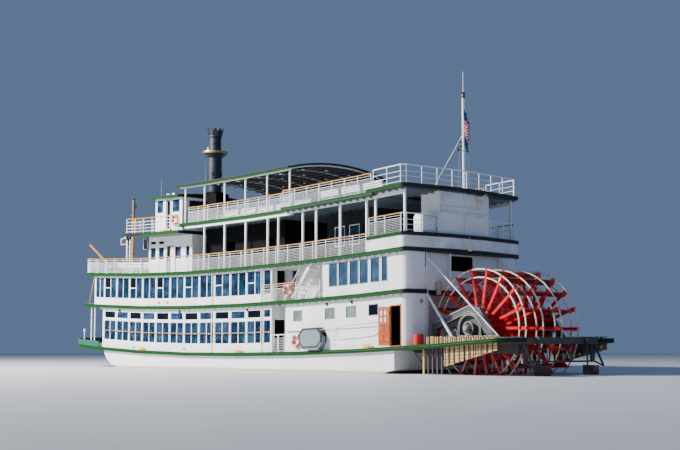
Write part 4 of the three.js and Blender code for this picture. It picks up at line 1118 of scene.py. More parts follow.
def railing(name, line, level, rails, panel=0.8, lowest=0.05):
    """Posts, wire panels and a varnished handrail along one line."""
    floor = top(level)
    bars = [(panel, 0.016, 4), ((panel + rails.height) / 2 + 0.01, 0.012, 4)]
    pitch = (panel - lowest) / rails.rows
    bars += [(lowest + pitch * row, rails.wire_radius, 4) for row in range(rails.rows)]
    parts = rail_parts(line, floor, (rails.height - 0.03, rails.post_radius), rails.post_pitch, bars)
    wire = rod((0, 0, floor + lowest), (0, 0, floor + panel), rails.wire_radius, 4)
    parts.append(copies(wire, [at(x, y, 0, turn) for x, y, turn in spaced(line, rails.wire_pitch)]))
    return finish(parts, name, "rail")


def handrail(name, line, level, rails):
    finish(level_pipe(line, top(level) + rails.height, rails.handrail_radius, 8), name, "varnish")


class BOAT_OT_railings(Operator):
    """Put up the railings: posts, wire panels and varnished handrails"""

    bl_idname = "boat.railings"
    bl_label = "Railings"

    def execute(self, context):
        rails = context.scene.boat_rails
        for name, (line, level) in RAIL_LINES.items():
            white = railing(name, line, level, rails)
            if name in ("deck_3_railing", "deck_4_railing"):
                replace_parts(white, name.replace("railing", "rail"))
            handrail(name + "_handrail", line, level, rails)

        for name, (line, level) in STERN_RAIL_LINES.items():
            bars = [*((z, 0.02, 6) for z in (0.12, 0.42, 0.72)), (rails.height, 0.036, 8)]
            parts = rail_parts(line, top(level), (rails.height - 0.02, 0.034), rails.post_pitch, bars)
            white = finish(parts, name, "rail")
            if not name.endswith("starboard"):
                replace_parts(white, "deck_3_aft_rail" if "deck_3" in name else "deck_4_stern_rail")

        line = [(22.5, 4.8), (29.5, 4.8), (29.5, -4.8), (22.5, -4.8)]
        bars = [(z, 0.018, 6) for z in (0.12, 0.36, 0.6, 0.84)]
        parts = rail_parts(line, top(BRIDGE), (rails.height - 0.03, rails.post_radius), 1.15, bars)
        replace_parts(finish(parts, "bridge_railing", "rail"), "bridge_rail")
        handrail("bridge_handrail", line, BRIDGE, rails)
        return {"FINISHED"}


class BOAT_OT_side_handrails(Operator):
    """Run the varnished handrail along the lower deck's walls, and close the side passage with its gate"""

    bl_idname = "boat.side_handrails"
    bl_label = "Side Handrails"

    def execute(self, context):
        rails = context.scene.boat_rails
        y = WALL_SIDE + 0.09
        z = 2.46
        line = [(32.3, y), (11.6, y)]
        rail = level_pipe(line, z, 0.028, 8)
        finish_pair(rail, "lower_handrail", "varnish")
        bracket = joined([rod((0, -0.09, -0.05), (0, 0, -0.02), 0.014, 6),
                          block((-0.04, -0.095, -0.09), (0.04, -0.085, 0.0), 0.003)])
        brackets = copies(bracket, [at(x, y, z) for x in np.arange(11.85, 32.3, 1.65)])
        finish_pair(brackets, "lower_handrail_brackets", "white")

        floor = top(DECK_1)
        gate = [(10.2, 4.95), (11.5, 4.95)]
        parts = [copies(rail_post(1.1, 0.03), [at(x, 4.95, floor) for x in (10.22, 10.83, 10.9, 11.5)]),
                 level_pipe(gate, floor + 1.1, 0.03, 8)]
        parts += [level_pipe(gate, floor + z, 0.012, 4) for z in (0.08, 0.24, 0.4, 0.56, 0.72, 0.88)]
        wire = rod((0, 0, floor + 0.08), (0, 0, floor + 0.88), rails.wire_radius, 4)
        parts.append(copies(wire, [at(px, py, 0) for px, py, _ in spaced(gate, 0.12)]))
        finish_pair(parts, "side_gates", "rail")
        return {"FINISHED"}


# Deck edges, brackets and beams


def deck_edge(tip, shoulder, stern, corner, belly, aft=None):
    """A deck's edge line from port aft, round the bow, to starboard aft; or round the stern, ahead to aft."""
    bow = [(shoulder + (tip - shoulder) * math.cos(math.pi / 16 * i), SIDE * math.sin(math.pi / 16 * i))
           for i in range(8, -1, -1)]
    turn = [(stern + corner + corner * math.cos(math.pi / 2 + math.pi / 8 * i),
             SIDE - corner + corner * math.sin(math.pi / 2 + math.pi / 8 * i)) for i in range(5)]
    if aft is None:
        port = [*reversed(turn), *bow]
    else:
        port = [(aft, SIDE), *turn, (stern - belly, SIDE * 0.3)]
    mirror = [(x, -y) for x, y in reversed(port) if y > 0]
    return [*port, *mirror]


DECK_1_EDGE = deck_edge(37.9, 35.4, -8.3, 1.0, 0)
DECK_2_EDGE = deck_edge(37.0, 34.6, -0.85, 0.25, 0.35)
DECK_3_EDGE = deck_edge(36.7, 34.4, -0.85, 0.25, 0.35)
STERN_EDGE = deck_edge(0, 0, -0.85, 0.25, 0.35, aft=2.3)
DECK_4_EDGE = [(1.9, 5.2), (10.4, 5.2), (10.4, 4.4), (23.25, 4.4),
               (23.25, -4.4), (10.4, -4.4), (10.4, -5.2), (1.9, -5.2)]


def outward(line, reach):
    """The line moved sideways, away from the ship's middle, by a reach."""
    moved = []
    for i, (x, y) in enumerate(line):
        before, after = Vector(line[max(i - 1, 0)]), Vector(line[min(i + 1, len(line) - 1)])
        way = (after - before).normalized()
        moved.append((x - way.y * reach, y + way.x * reach))
    return moved


def ribbon(line, inner, outer, z0, z1, round_by=0.0):
    """An upright strip along a line, between two reaches outward from it."""
    path = at_stations(line)
    return slab_of([*outward(path, outer), *reversed(outward(path, inner))], z0, z1, round_by)


class BOAT_OT_deck_edges(Operator):
    """Run the half-round rubbing strakes along the deck edges, and the green band of the raised after deck"""

    bl_idname = "boat.deck_edges"
    bl_label = "Deck Edges"

    def execute(self, context):
        thick = EDGE / 2
        parts = [level_pipe(outward(DECK_1_EDGE, -0.02), DECK_1, 0.05, 8),
                 level_pipe(outward(DECK_1_EDGE, -0.01), DECK_1 + thick - 0.02, 0.03)]
        for line, level in ((DECK_2_EDGE, DECK_2), (DECK_3_EDGE, DECK_3), (DECK_4_EDGE, DECK_4)):
            parts.append(level_pipe(outward(line, -0.01), level + thick - 0.03, 0.035, 8))
            parts.append(level_pipe(outward(line, -0.01), level - thick + 0.02, 0.025))
        finish(parts, "deck_edge_strakes", "green")

        def strakes(line):
            parts = []
            for level in (DECK_3_AFT, DECK_4_AFT):
                parts += [ribbon(line, -0.004, -0.03, under(level) + 0.02, top(level) + 0.01, 0.004),
                          level_pipe(outward(line, -0.03), level + 0.05, 0.03, 8)]
            return parts

        corner = len(STERN_EDGE) // 2 - 2
        side = STERN_EDGE[:corner - 2]
        finish_pair(strakes(side), "after_deck_strakes", "green")
        across = STERN_EDGE[corner - 3:-(corner - 3)]
        # Painted shade: across the stern the strakes and edge bands are black, standing for the stern's shade
        finish(strakes(across) + [
            ribbon(across, -0.004, -0.03, under(DECK_3), top(DECK_3), 0.004),
            ribbon([(x, y) for x, y in across if y > 3.5], -0.004, -0.03, under(DECK_2), top(DECK_2), 0.004),
            ribbon([(x, y) for x, y in across if y < -3.5], -0.004, -0.03, under(DECK_2), top(DECK_2), 0.004),
        ], "shaded_stern_strakes", "black")
        return {"FINISHED"}


class BOAT_OT_deck_brackets(Operator):
    """Set the knee brackets under the deck edges and the joists under deck four"""

    bl_idname = "boat.deck_brackets"
    bl_label = "Deck Brackets"

    def execute(self, context):
        parts = []
        for level, places, wall, edge in (
            (DECK_2, np.arange(-0.3, 33.0, 0.62), WALL_SIDE, SIDE - 0.02),
            (DECK_3, np.arange(11.7, 33.6, 0.62), WALL_SIDE, SIDE - 0.02),
            (DECK_3, np.arange(0.0, 6.4, 0.62), WALL_SIDE, SIDE - 0.02),
            (DECK_3, np.arange(6.8, 11.4, 0.62), RECESS_SIDE, SIDE - 0.05),
        ):
            z = under(level)
            foot = z - (0.16 if edge - wall < 1 else 0.24)
            knee = [(wall, z), (edge, z), (edge, z - 0.03), (wall + 0.03, foot), (wall, foot)]
            parts.append(copies(cross_plate(knee, -0.018, 0.018), [at(x, 0, 0) for x in places]))
        finish_pair(parts, "deck_knees", "white")

        z = under(DECK_4)

        def joists(outline, lift, xs):
            model = cross_plate([(y, z + lift + h) for y, h in outline], -0.025, 0.025)
            return copies(model, [at(x, 0, 0) for x in xs])

        def mirrored_outline(half, foot, deep):
            port = [(half, 0), (half, -0.07), (foot, -deep)]
            return [*((-y, h) for y, h in reversed(port)), *port]

        after = [(2.3, 0), (5.1, 0), (5.1, -0.07), (4.6, -0.15), (2.3, -0.15)]
        fascia = joined([
            side_plate([(10.5, z), (22.4, z), (22.4, z - 0.2), (10.5, z - 0.2)], 4.02, 4.05),
            pipe([(22.4, 4.3, z - 0.03), (10.5, 4.3, z - 0.03)], 0.02),
        ])
        finish([joists(mirrored_outline(4.3, 3.9, 0.15), 0, np.arange(10.9, 22.3, 0.6)),
                joists(mirrored_outline(5.1, 4.6, 0.16), 0, np.arange(2.2, 10.3, 0.6)),
                both_sides(joists(after, DECK_4_AFT - DECK_4, np.arange(-0.5, 1.8, 0.55))),
                both_sides(fascia)], "deck_4_joists", "slate")
        return {"FINISHED"}


# Fittings on the side walls


def life_ring(radius=0.33, thick=0.085):
    """A life ring facing port, with four white bands on red and its grab line."""
    ring = torus((0, 0, 0), radius, thick, (math.pi / 2, 0, 0), 40, 12)
    for face in ring.data.polygons:
        turn = math.degrees(math.atan2(face.center.z, face.center.x)) % 90
        face.material_index = 1 if turn < 26 else 0
    line = []
    for i in range(33):
        turn = 2 * math.pi * i / 32
        sag = 0.05 * abs(math.sin(2 * turn))
        size = radius + thick + 0.012 + sag
        line.append((size * math.cos(turn), 0.03, size * math.sin(turn)))
    grab = numbered(pipe(line[:-1], 0.011, 6, closed=True), 2)
    clips = [rod((0, -0.1, -radius - thick), (0, 0.06, -radius - thick - 0.01), 0.03),
             block((-0.06, -0.11, -radius - thick - 0.05), (0.06, -0.09, -radius + 0.05), 0.004)]
    return joined([joined([ring, grab]), *(numbered(clip, 2) for clip in clips)])


class BOAT_OT_life_rings(Operator):
    """Hang the life rings"""

    bl_idname = "boat.life_rings"
    bl_label = "Life Rings"

    def execute(self, context):
        coats = ["ring_red", "ring_white", "rope"]
        for name, place in (("life_ring_main_deck", at(8.93, 5.06, 1.83)),
                            ("life_ring_landing", at(9.65, 5.2, 5.0)),
                            ("life_ring_pilothouse", at(26.12, 2.71, 11.0))):
            finish_pair(copies(life_ring(), [place]), name, coats, smooth=60)
        return {"FINISHED"}


class BOAT_OT_engine_doors(Operator):
    """Panel and glaze the two engine-room doors, which ride on their own bodies"""

    bl_idname = "boat.engine_doors"
    bl_label = "Engine Doors"

    def execute(self, context):
        floor = top(DECK_1) + sheer(sum(DOORWAY) / 2)
        # Modelled from the foot of the hinge, on the outer face of the leaf
        for side, flip in (("port", Matrix.Identity(4)), ("starboard", MIRROR)):
            place = flip @ at(0.59, WALL_SIDE + 0.057, floor)
            trim, panes = [], []
            for z0, z1 in ((0.2, 0.74), (0.8, 1.3)):
                for x0, x1 in ((0.1, 0.43), (0.48, 0.81)):
                    panel = block((x0, -0.004, z0), (x1, 0.012, z1))
                    recess(panel, PORT, 0.035, (0, -0.012, 0))
                    bpy.ops.mesh.inset(thickness=0.03)
                    push((0, 0.01, 0))
                    trim.append(leave_edit())
            for x0, z0 in ((0.24, 1.42), (0.24, 1.82), (0.57, 1.42), (0.57, 1.82)):
                x1, z1, edge = x0 + 0.22, z0 + 0.3, 0.018
                for xa, xb, za, zb in (
                    (x0 - edge, x1 + edge, z0 - edge, z0), (x0 - edge, x1 + edge, z1, z1 + edge),
                    (x0 - edge, x0, z0, z1), (x1, x1 + edge, z0, z1),
                ):
                    trim.append(block((xa, -0.004, za), (xb, 0.01, zb), 0.003))
                panes.append(block((x0 - 0.01, -0.031, z0 - 0.01), (x1 + 0.01, -0.015, z1 + 0.01), 0.003))

            irons = [block((0.76, -0.003, 0.98), (0.83, 0.008, 1.2), 0.004),
                     rod((0.795, 0, 1.12), (0.795, 0.05, 1.12), 0.012, 10),
                     rod((0.805, 0.045, 1.12), (0.68, 0.045, 1.12), 0.011, 10, 0.008)]
            for z in (0.42, 1.92):
                irons.append(block((0.07, -0.003, z - 0.05), (0.19, 0.006, z + 0.05), 0.004))
                irons += [rod((x, 0, z + lift), (x, 0.012, z + lift), 0.009, 6)
                          for x in (0.095, 0.15) for lift in (-0.03, 0.03)]
            for piece, parts, coat in (("panels", trim, "plank"), ("panes", panes, "glass_white"),
                                       ("irons", irons, "bright")):
                finish(copies(joined(parts), [place]), f"engine_door_{piece}_{side}", coat,
                       f"engine_door_{side}", bends=False)
        return {"FINISHED"}


DRUM = (6.2, 8.26, 1.37, 2.53)
DRUM_CORNER = 0.36


def drum_outline(grow, cut):
    """The eight corners of the drum, grown on every side."""
    x0, x1, z0, z1 = DRUM[0] - grow, DRUM[1] + grow, DRUM[2] - grow, DRUM[3] + grow
    corner = DRUM_CORNER + cut
    return [(x0 + corner, z0), (x1 - corner, z0), (x1, z0 + corner), (x1, z1 - corner),
            (x1 - corner, z1), (x0 + corner, z1), (x0, z1 - corner), (x0, z0 + corner)]


class BOAT_OT_side_drum(Operator):
    """Rim, face and strap of the eight-sided drum on the port wall"""

    bl_idname = "boat.side_drum"
    bl_label = "Side Drum"

    def execute(self, context):
        x0, x1, z0, _ = DRUM
        face = WALL_SIDE + 0.45
        rim = side_plate(drum_outline(0.035, 0.01), face - 0.09, face + 0.02, 0.012)
        recess(rim, PORT, 0.085, (0, -0.03, 0))
        rim = number_picked(rim, 1)
        back = side_plate(drum_outline(0.05, 0.02), WALL_SIDE - 0.01, WALL_SIDE + 0.06, 0.008)
        straps = [block((x - 0.04, WALL_SIDE, z0 - 0.08), (x + 0.04, face - 0.1, z0 - 0.035), 0.006)
                  for x in (x0 + 0.5, x1 - 0.5)]
        finish([rim, back, *straps], "drum_rim", ["black", "slate"], smooth=20)

        loop = drum_outline(0, 0)
        bolts = [at(ax + (bx - ax) * share, face + 0.018, az + (bz - az) * share)
                 for (ax, az), (bx, bz) in zip(loop, loop[1:] + loop[:1]) for share in (0.25, 0.75)]
        finish(copies(rod((0, -0.01, 0), (0, 0.016, 0), 0.014, 6), bolts), "drum_bolts", "bright")
        return {"FINISHED"}


class BOAT_OT_wall_fittings(Operator):
    """Bare name boards, wall rail, rungs, cleats, lamps and vents on the side walls"""

    bl_idname = "boat.wall_fittings"
    bl_label = "Wall Fittings"

    def execute(self, context):
        y = WALL_SIDE
        outline = [(1.68, 1.92), (1.46, 2.14), (1.46, 2.66), (5.12, 2.56), (5.12, 1.84), (4.98, 1.76),
                   (1.9, 1.86)]
        board = side_plate(outline, y - 0.005, y + 0.035, 0.006)
        recess(board, PORT, 0.03, (0, -0.014, 0))
        boards = [leave_edit(), block((1.6, y + 0.018, 2.2), (5.05, y + 0.028, 2.212), 0.002)]
        rung = [(5.38, y - 0.01), (5.38, y + 0.12), (5.72, y + 0.12), (5.72, y - 0.01)]
        boards += [pipe([(*point, z) for point in rung], 0.016, 8) for z in (1.57, 1.83, 2.09, 2.34)]
        finish_pair(boards, "name_boards_and_rungs", "white")
        vents = [block((x - 0.15, y - 0.005, z - 0.07), (x + 0.15, y + 0.03, z + 0.07), 0.008)
                 for x, z in ((27.99, 1.32), (21.39, 1.40), (24.69, 4.67), (23.59, 4.67))]
        vents.append(pipe([(x, y + 0.036, z) for x, z in outline], 0.014, 6, closed=True))
        finish_pair(vents, "wall_vents", "slate")

        rail = [pipe([(9.95, y + 0.06, 2.44), (6.3, y + 0.06, 2.42)], 0.03, 8),
                pipe([(6.3, y + 0.06, 2.42), (1.35, y + 0.06, 2.41)], 0.016)]
        rail += [rod((x, y - 0.01, 2.43), (x, y + 0.07, 2.43), 0.014, 6) for x in (9.7, 8.4, 7.1, 6.4)]
        finish_pair(rail, "engine_house_rail", "varnish")

        cleat = joined([
            block((-0.34, -0.07, 0), (0.34, 0.09, 0.035), 0.01),
            rod((-0.15, 0.01, 0.03), (-0.17, 0.01, 0.2), 0.055, 10, 0.042),
            rod((0.15, 0.01, 0.03), (0.17, 0.01, 0.2), 0.055, 10, 0.042),
            rod((-0.42, 0.01, 0.2), (0.42, 0.01, 0.2), 0.042, 10, 0.034),
        ])
        places = [at(x, RAIL_SIDE, top(DECK_1)) for x in (2.45, 15.0, 26.7)]
        places.append(at(33.3, 5.0, top(DECK_1)))
        finish_pair(copies(cleat, places), "mooring_cleats", "yellow")

        shade = [(0, 0), (0.06, 0), (0.062, 0.06), (0.04, 0.11), (0, 0.125)]
        lamp = joined([block((-0.07, -0.01, -0.1), (0.07, 0.03, 0.1), 0.012),
                       spun(shade, (0, 0.02, 0), PORT, 14)])
        lamps = [at(x, y, z) for x, z in ((6.1, 3.98), (3.84, 3.98), (14.1, 3.98), (22.0, 3.98), (30.0, 4.0))]
        finish_pair(copies(lamp, lamps), "wall_lamps", "black")
        return {"FINISHED"}


# The wheel and its machinery

FLANGES = (-WHEEL_HALF, -WHEEL_HALF / 3, WHEEL_HALF / 3, WHEEL_HALF)
CIRCLE_FACE = 0.111
HUB_FACE, HUB_BOLTS, TIE_ROD = 0.12, 0.42, 1.7
HOUSING_FACE = 3.18


def on_wheel(turn):
    """A place on the wheel, turned about its shaft."""
    return Matrix.Translation((WHEEL_X, 0, WHEEL_Z)) @ Matrix.Rotation(turn, 4, "Y")


class BOAT_OT_wheel_details(Operator):
    """Clamp the circles to the arms, bolt the boards and brace the arms; all of it turns with the wheel"""

    bl_idname = "boat.wheel_details"
    bl_label = "Wheel Details"

    def execute(self, context):
        arms = [on_wheel(math.tau * i / WHEEL_ARMS) for i in range(WHEEL_ARMS)]
        clamps, bolts = [], []
        for flange in FLANGES:
            hand = math.copysign(1, flange)
            face = flange + hand * CIRCLE_FACE
            for low, high in ((3.3, 3.45), (2.86, 2.985)):
                y0, y1 = sorted((flange + hand * 0.052, face + hand * 0.014))
                clamps.append(block((low, y0, -0.08), (high, y1, 0.075), 0.008))
                reach, bolt_end = (low + high) / 2, face + hand * 0.034
                bolts += [rod((reach, face, z), (reach, bolt_end, z), 0.02, 6) for z in (-0.045, 0.045)]
            bolts += [rod((reach, flange, 0.126), (reach, flange, 0.152), 0.022, 6) for reach in (3.06, 3.25)]
            start, end = ((HUB_BOLTS, flange + hand * reach, 0) for reach in (HUB_FACE, 0.15))
            bolts.append(rod(start, end, 0.03, 6))

        braces = [rod((TIE_ROD, -WHEEL_HALF, 0), (TIE_ROD, WHEEL_HALF, 0), 0.026, 6)]
        for count, (y0, y1) in enumerate(zip(FLANGES, FLANGES[1:])):
            outer, inner = (y0, y1) if count % 2 else (y1, y0)
            braces.append(rod((2.5, outer, 0), (0.6, inner, 0), 0.022, 6))
        for name, parts, coat in (("wheel_clamps", clamps, "red"), ("wheel_bolts", bolts, "steel"),
                                  ("wheel_braces", braces, "red")):
            finish(copies(joined(parts), arms), name, coat, "paddle_wheel", bends=False)
        return {"FINISHED"}


class BOAT_OT_drive_gear(Operator):
    """Rims, bolts, spoked discs, cable reels and irons on the timbers that carry the wheel"""

    bl_idname = "boat.drive_gear"
    bl_label = "Drive Gear"

    def execute(self, context):
        def round_shaft(reach, turn):
            return WHEEL_X + reach * math.cos(turn), HOUSING_FACE, WHEEL_Z + reach * math.sin(turn)

        turns = [math.pi * i / 16 for i in range(17)]
        parts = []
        for reach, thick in ((0.84, 0.035), (0.75, 0.03)):
            ends = [(WHEEL_X + end, HOUSING_FACE, TIMBER_TOP) for end in (reach, -reach)]
            parts.append(pipe([ends[0], *(round_shaft(reach, turn) for turn in turns), ends[1]], thick, 8))
        for arm, thick in (([(-1.2, 2.92), (-4.02, 3.86), (-4.66, 3.68), (-5.64, 2.3)], 0.04),
                           ([(-1.6, 2.68), (-3.98, 3.56), (-4.5, 3.34), (-5.2, 2.3)], 0.03)):
            parts.append(pipe([(x, HOUSING_FACE, z) for x, z in arm], thick, 8))
        bolts = [round_shaft(0.8, turn) for turn in turns[::2]]
        bolts += [round_shaft(0.25, turn * 2 + 0.4) for turn in turns[:15:2]]
        parts.append(copies(rod((0, -0.02, 0), (0, 0.035, 0), 0.026, 6), [at(*place) for place in bolts]))
        finish_pair(parts, "housing_rims", "weathered", slot="grey_paint", bends=False)

        def spokes(count, y, inner, outer, radius, sides):
            """Level bars from a hub to its rim."""
            ways = [Matrix.Rotation(math.tau * i / count, 3, "Y") @ Vector((1, 0, 0)) for i in range(count)]
            side = Vector((0, y, 0))
            return [rod(side + way * inner, side + way * outer, radius, sides) for way in ways]

        hub = spun([(0, 0.28), (0.12, 0.28), (0.17, 0.24), (0.17, 0.16), (0, 0.16)], (0, 0, 0), PORT, 18)
        disc = [torus((0, 0, 0), 0.36, 0.045, ON_EDGE), rod((0, -0.04, 0), (0, 0.17, 0), 0.2, 20), hub,
                *spokes(6, 0, 0.1, 0.34, 0.03, 8)]
        disc = copies(joined(disc), [at(WHEEL_X, HOUSING_FACE + 0.1, WHEEL_Z)])
        finish_pair(disc, "shaft_discs", "weathered", "paddle_wheel", bends=False)

        coils = [torus((0, y, 0), reach, 0.03, ON_EDGE, 28, 8)
                 for y, reach in ((-0.1, 0.29), (0, 0.26), (0.1, 0.29))]
        coils.append(rod((0, -0.14, 0), (0, 0.14, 0), 0.06, 12))
        coils += spokes(5, -0.1, 0, 0.29, 0.018, 6) + spokes(5, 0.1, 0, 0.29, 0.018, 6)
        reel = [copies(joined(coils), [at(-2.25, 3.02, 2.46)]),
                block((-2.45, 2.93, 2.09), (-2.05, 3.12, 2.17), 0.01)]
        for line, thick in (([(-1.75, 2.12), (-1.75, 2.5), (-1.95, 2.62), (-1.95, 2.12)], 0.03),
                            ([(-2.72, 2.12), (-2.72, 2.44), (-2.9, 2.58), (-3.05, 2.12)], 0.026)):
            reel.append(pipe([(x, 3.1, z) for x, z in line], thick, 8))
        finish_pair(reel, "cable_reels", "weathered", bends=False, smooth=50)

        valve = [torus((-1.5, 3.06, 2.42), 0.13, 0.022, (0.5, 0, 0), 20, 8),
                 rod((-1.5, 3.06, 2.1), (-1.5, 3.06, 2.46), 0.035),
                 block((-1.42, 2.96, 2.1), (-1.22, 3.16, 2.3), 0.02)]
        finish_pair(valve, "valve_wheels", "scarlet", bends=False)

        straps = []
        for x in (-5.2, -6.3, -7.35):
            straps.append(block((x - 0.06, TIMBER_INNER - 0.02, TIMBER_BOTTOM - 0.02),
                                (x + 0.06, TIMBER_OUTER + 0.02, TIMBER_TOP + 0.02), 0.008))
            straps += [rod((x, TIMBER_OUTER, z), (x, TIMBER_OUTER + 0.05, z), 0.03, 6)
                       for z in (1.4, 1.65, 1.9)]
        finish_pair(straps, "timber_straps", "rusty", slot="black_paint", bends=False)
        return {"FINISHED"}


class BOAT_OT_side_deck(Operator):
    """Slats above and posts below the side decks, wires on the skirts, and what stands by the engine house"""

    bl_idname = "boat.side_deck"
    bl_label = "Side Decks"

    def execute(self, context):
        floor, roof = top(DECK_1), under(DECK_1)
        slat_top = 2.12
        slats = []
        for count, x in enumerate(np.arange(-2.35, -7.5, -0.345)):
            half, head = (0.12 if count % 3 else 0.09), slat_top + 0.035 * (count % 2)
            slats.append(block((x - half, 4.8, floor + sheer(x) - 0.01), (x + half, 4.87, head), 0.01))
        slats.append(block((-7.55, 4.79, slat_top - 0.01), (-4.7, 4.92, slat_top + 0.04), 0.012))
        slats.append(block((-1.96, 4.66, 0.02), (-1.84, 4.74, roof + sheer(-1.9)), 0.012))
        finish_pair(slats, "side_deck_slats", "slat", bends=False)
        posts = [block((x - 0.05, 4.66, 0.02), (x + 0.05, 4.74, roof + sheer(x)), 0.01)
                 for x in (-2.25, -2.6, -2.95, -3.3)]
        finish_pair(posts, "skirt_posts", "rusty", bends=False)

        front, aft, deep, shallow = -3.65, -7.5, 1.05, 0.36
        wires = []
        for depth in (0.12, 0.3, 0.48, 0.66, 0.84):
            end = front + (aft - front) * min(1, (deep - depth) / (deep - shallow))
            wires.append(level_pipe([(front, 4.91), (end, 4.91)], roof - depth, 0.016))
        wires += [rod((x, 3.9, roof - 0.9), (x, 4.9, roof - 0.03), 0.045, 6) for x in (-1.2, -2.1, -3.0)]
        finish_pair(wires, "skirt_wires", "rusty")

        place = (-1.48, 4.7, floor)
        barrel = spun([(0, 0), (0.28, 0), (0.3, 0.03), (0.29, 0.19), (0.31, 0.21), (0.29, 0.23), (0.29, 0.4),
                       (0.31, 0.42), (0.29, 0.44), (0.3, 0.58), (0.28, 0.6), (0, 0.6)], place, steps=28)
        lid = spun([(0, 0.59), (0.265, 0.59), (0.265, 0.625), (0, 0.625)], place, steps=28)
        finish_pair([barrel, numbered(lid, 1)], "drums_on_deck", ["scarlet", "black"])

        fender = spun([(0, 0), (0.13, 0), (0.16, 0.05), (0.165, 0.4), (0.16, 0.77), (0.13, 0.82), (0, 0.82)],
                      (-0.84, 2.29, 4.6))
        hooks = [rod((-0.66, 2.29, z), (-0.86, 2.29, z), 0.02, 6) for z in (4.75, 5.25)]
        finish_pair([fender, *hooks], "rope_fenders", "rope", bends=False)

        lamp = spun([(0, 0.16), (0.05, 0.155), (0.07, 0.12), (0.075, 0.03), (0.13, 0.02), (0.14, 0),
                     (0.14, -0.02), (0, -0.02)], (-0.86, 3.8, 4.2), (-1, 0, 0))
        finish_pair(lamp, "stern_wall_lamps", "bright", bends=False)
        return {"FINISHED"}


class BOAT_OT_landing_stairs(Operator):
    """Open stairs from the side landings up to deck three, with their handrails"""

    bl_idname = "boat.landing_stairs"
    bl_label = "Landing Stairs"

    def execute(self, context):
        floor, head = top(DECK_2), under(DECK_3)
        steps = 9
        parts = []
        for step in range(steps):
            share = (step + 0.5) / steps
            x, z = 9.6 - 1.85 * share, floor + (head - floor) * share
            parts.append(block((x - 0.14, 4.13, z), (x + 0.14, 4.89, z + 0.045), 0.008))
        string = [(9.75, floor), (9.45, floor), (7.6, head), (7.9, head)]
        handrail = [(9.72, floor), (9.72, floor + 0.9), (8.7, head - 0.08)]
        for side in (4.08, 4.88):
            y = side + 0.03
            parts.append(side_plate(string, side, side + 0.06, 0.008))
            parts.append(pipe([(x, y, z) for x, z in handrail], 0.022, 8))
            parts.append(rod((9.12, y, floor + 0.6), (9.12, y, floor + 1.62), 0.018, 6))
        stairs = finish_pair(parts, "landing_stairs", "white")
        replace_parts(stairs, "side_landing_port", "side_landing_starboard")
        return {"FINISHED"}


# Fittings on the bow, the bridge, the funnel and the masts


class BOAT_OT_bow_fittings(Operator):
    """Posts, rain pipes, a lamp post, mooring bitts, a capstan and a hatch"""

    bl_idname = "boat.bow_fittings"
    bl_label = "Bow Fittings"

    def execute(self, context):
        floor = top(DECK_1)
        parts = [rod((x, 5.0, floor), (x, 5.0, under(DECK_2)), 0.05, 10) for x in (34.1, 33.6)]
        for x in (18.05, 12.56):
            for low, high in ((DECK_1, DECK_2), (DECK_2, DECK_3)):
                parts.append(rod((x, 5.03, top(low)), (x, 5.03, under(high)), 0.035))
                parts += [block((x - 0.06, 4.94, z), (x + 0.06, 5.05, z + 0.04), 0.004)
                          for z in (top(low) + 0.5, top(low) + 1.5)]
        lamp_foot = (35.65, 4.7, 2.14)
        parts.append(rod((35.65, 4.7, floor), lamp_foot, 0.045, 10))
        parts.append(spun([(0, 0), (0.08, 0), (0.1, 0.05), (0.1, 0.16), (0.06, 0.22), (0, 0.23)], lamp_foot,
                          steps=16))
        finish_pair(parts, "rain_pipes_and_bow_posts", "white")
        pole = rod((34.54, 4.98, top(DECK_2)), (33.8, 4.98, under(DECK_3)), 0.035)
        finish_pair(pole, "leaning_poles", "varnish")

        post = [(0, 0.04), (0.11, 0.04), (0.1, 0.1), (0.1, 0.5), (0.14, 0.53), (0.14, 0.6), (0.1, 0.64),
                (0, 0.65)]
        bitt = joined([block((-0.42, -0.16, 0), (0.42, 0.16, 0.05), 0.012),
                       *(spun(post, (x, 0, 0), steps=18) for x in (-0.24, 0.24))])
        bitts = copies(bitt, [at(34.0, hand * 2.6, floor, hand * 0.15) for hand in (1, -1)])
        capstan = spun([(0, 0), (0.38, 0), (0.38, 0.08), (0.26, 0.14), (0.2, 0.3), (0.19, 0.5), (0.24, 0.66),
                        (0.32, 0.72), (0.32, 0.86), (0.26, 0.9), (0, 0.92)], (35.6, 0, floor), steps=28)
        hatch = block((33.0, -0.6, floor - 0.01), (34.1, 0.6, floor + 0.28), 0.02)
        recess(hatch, UP, 0.07, (0, 0, 0.05))
        finish([bitts, capstan, leave_edit()], "fore_deck_gear", "black")
        return {"FINISHED"}


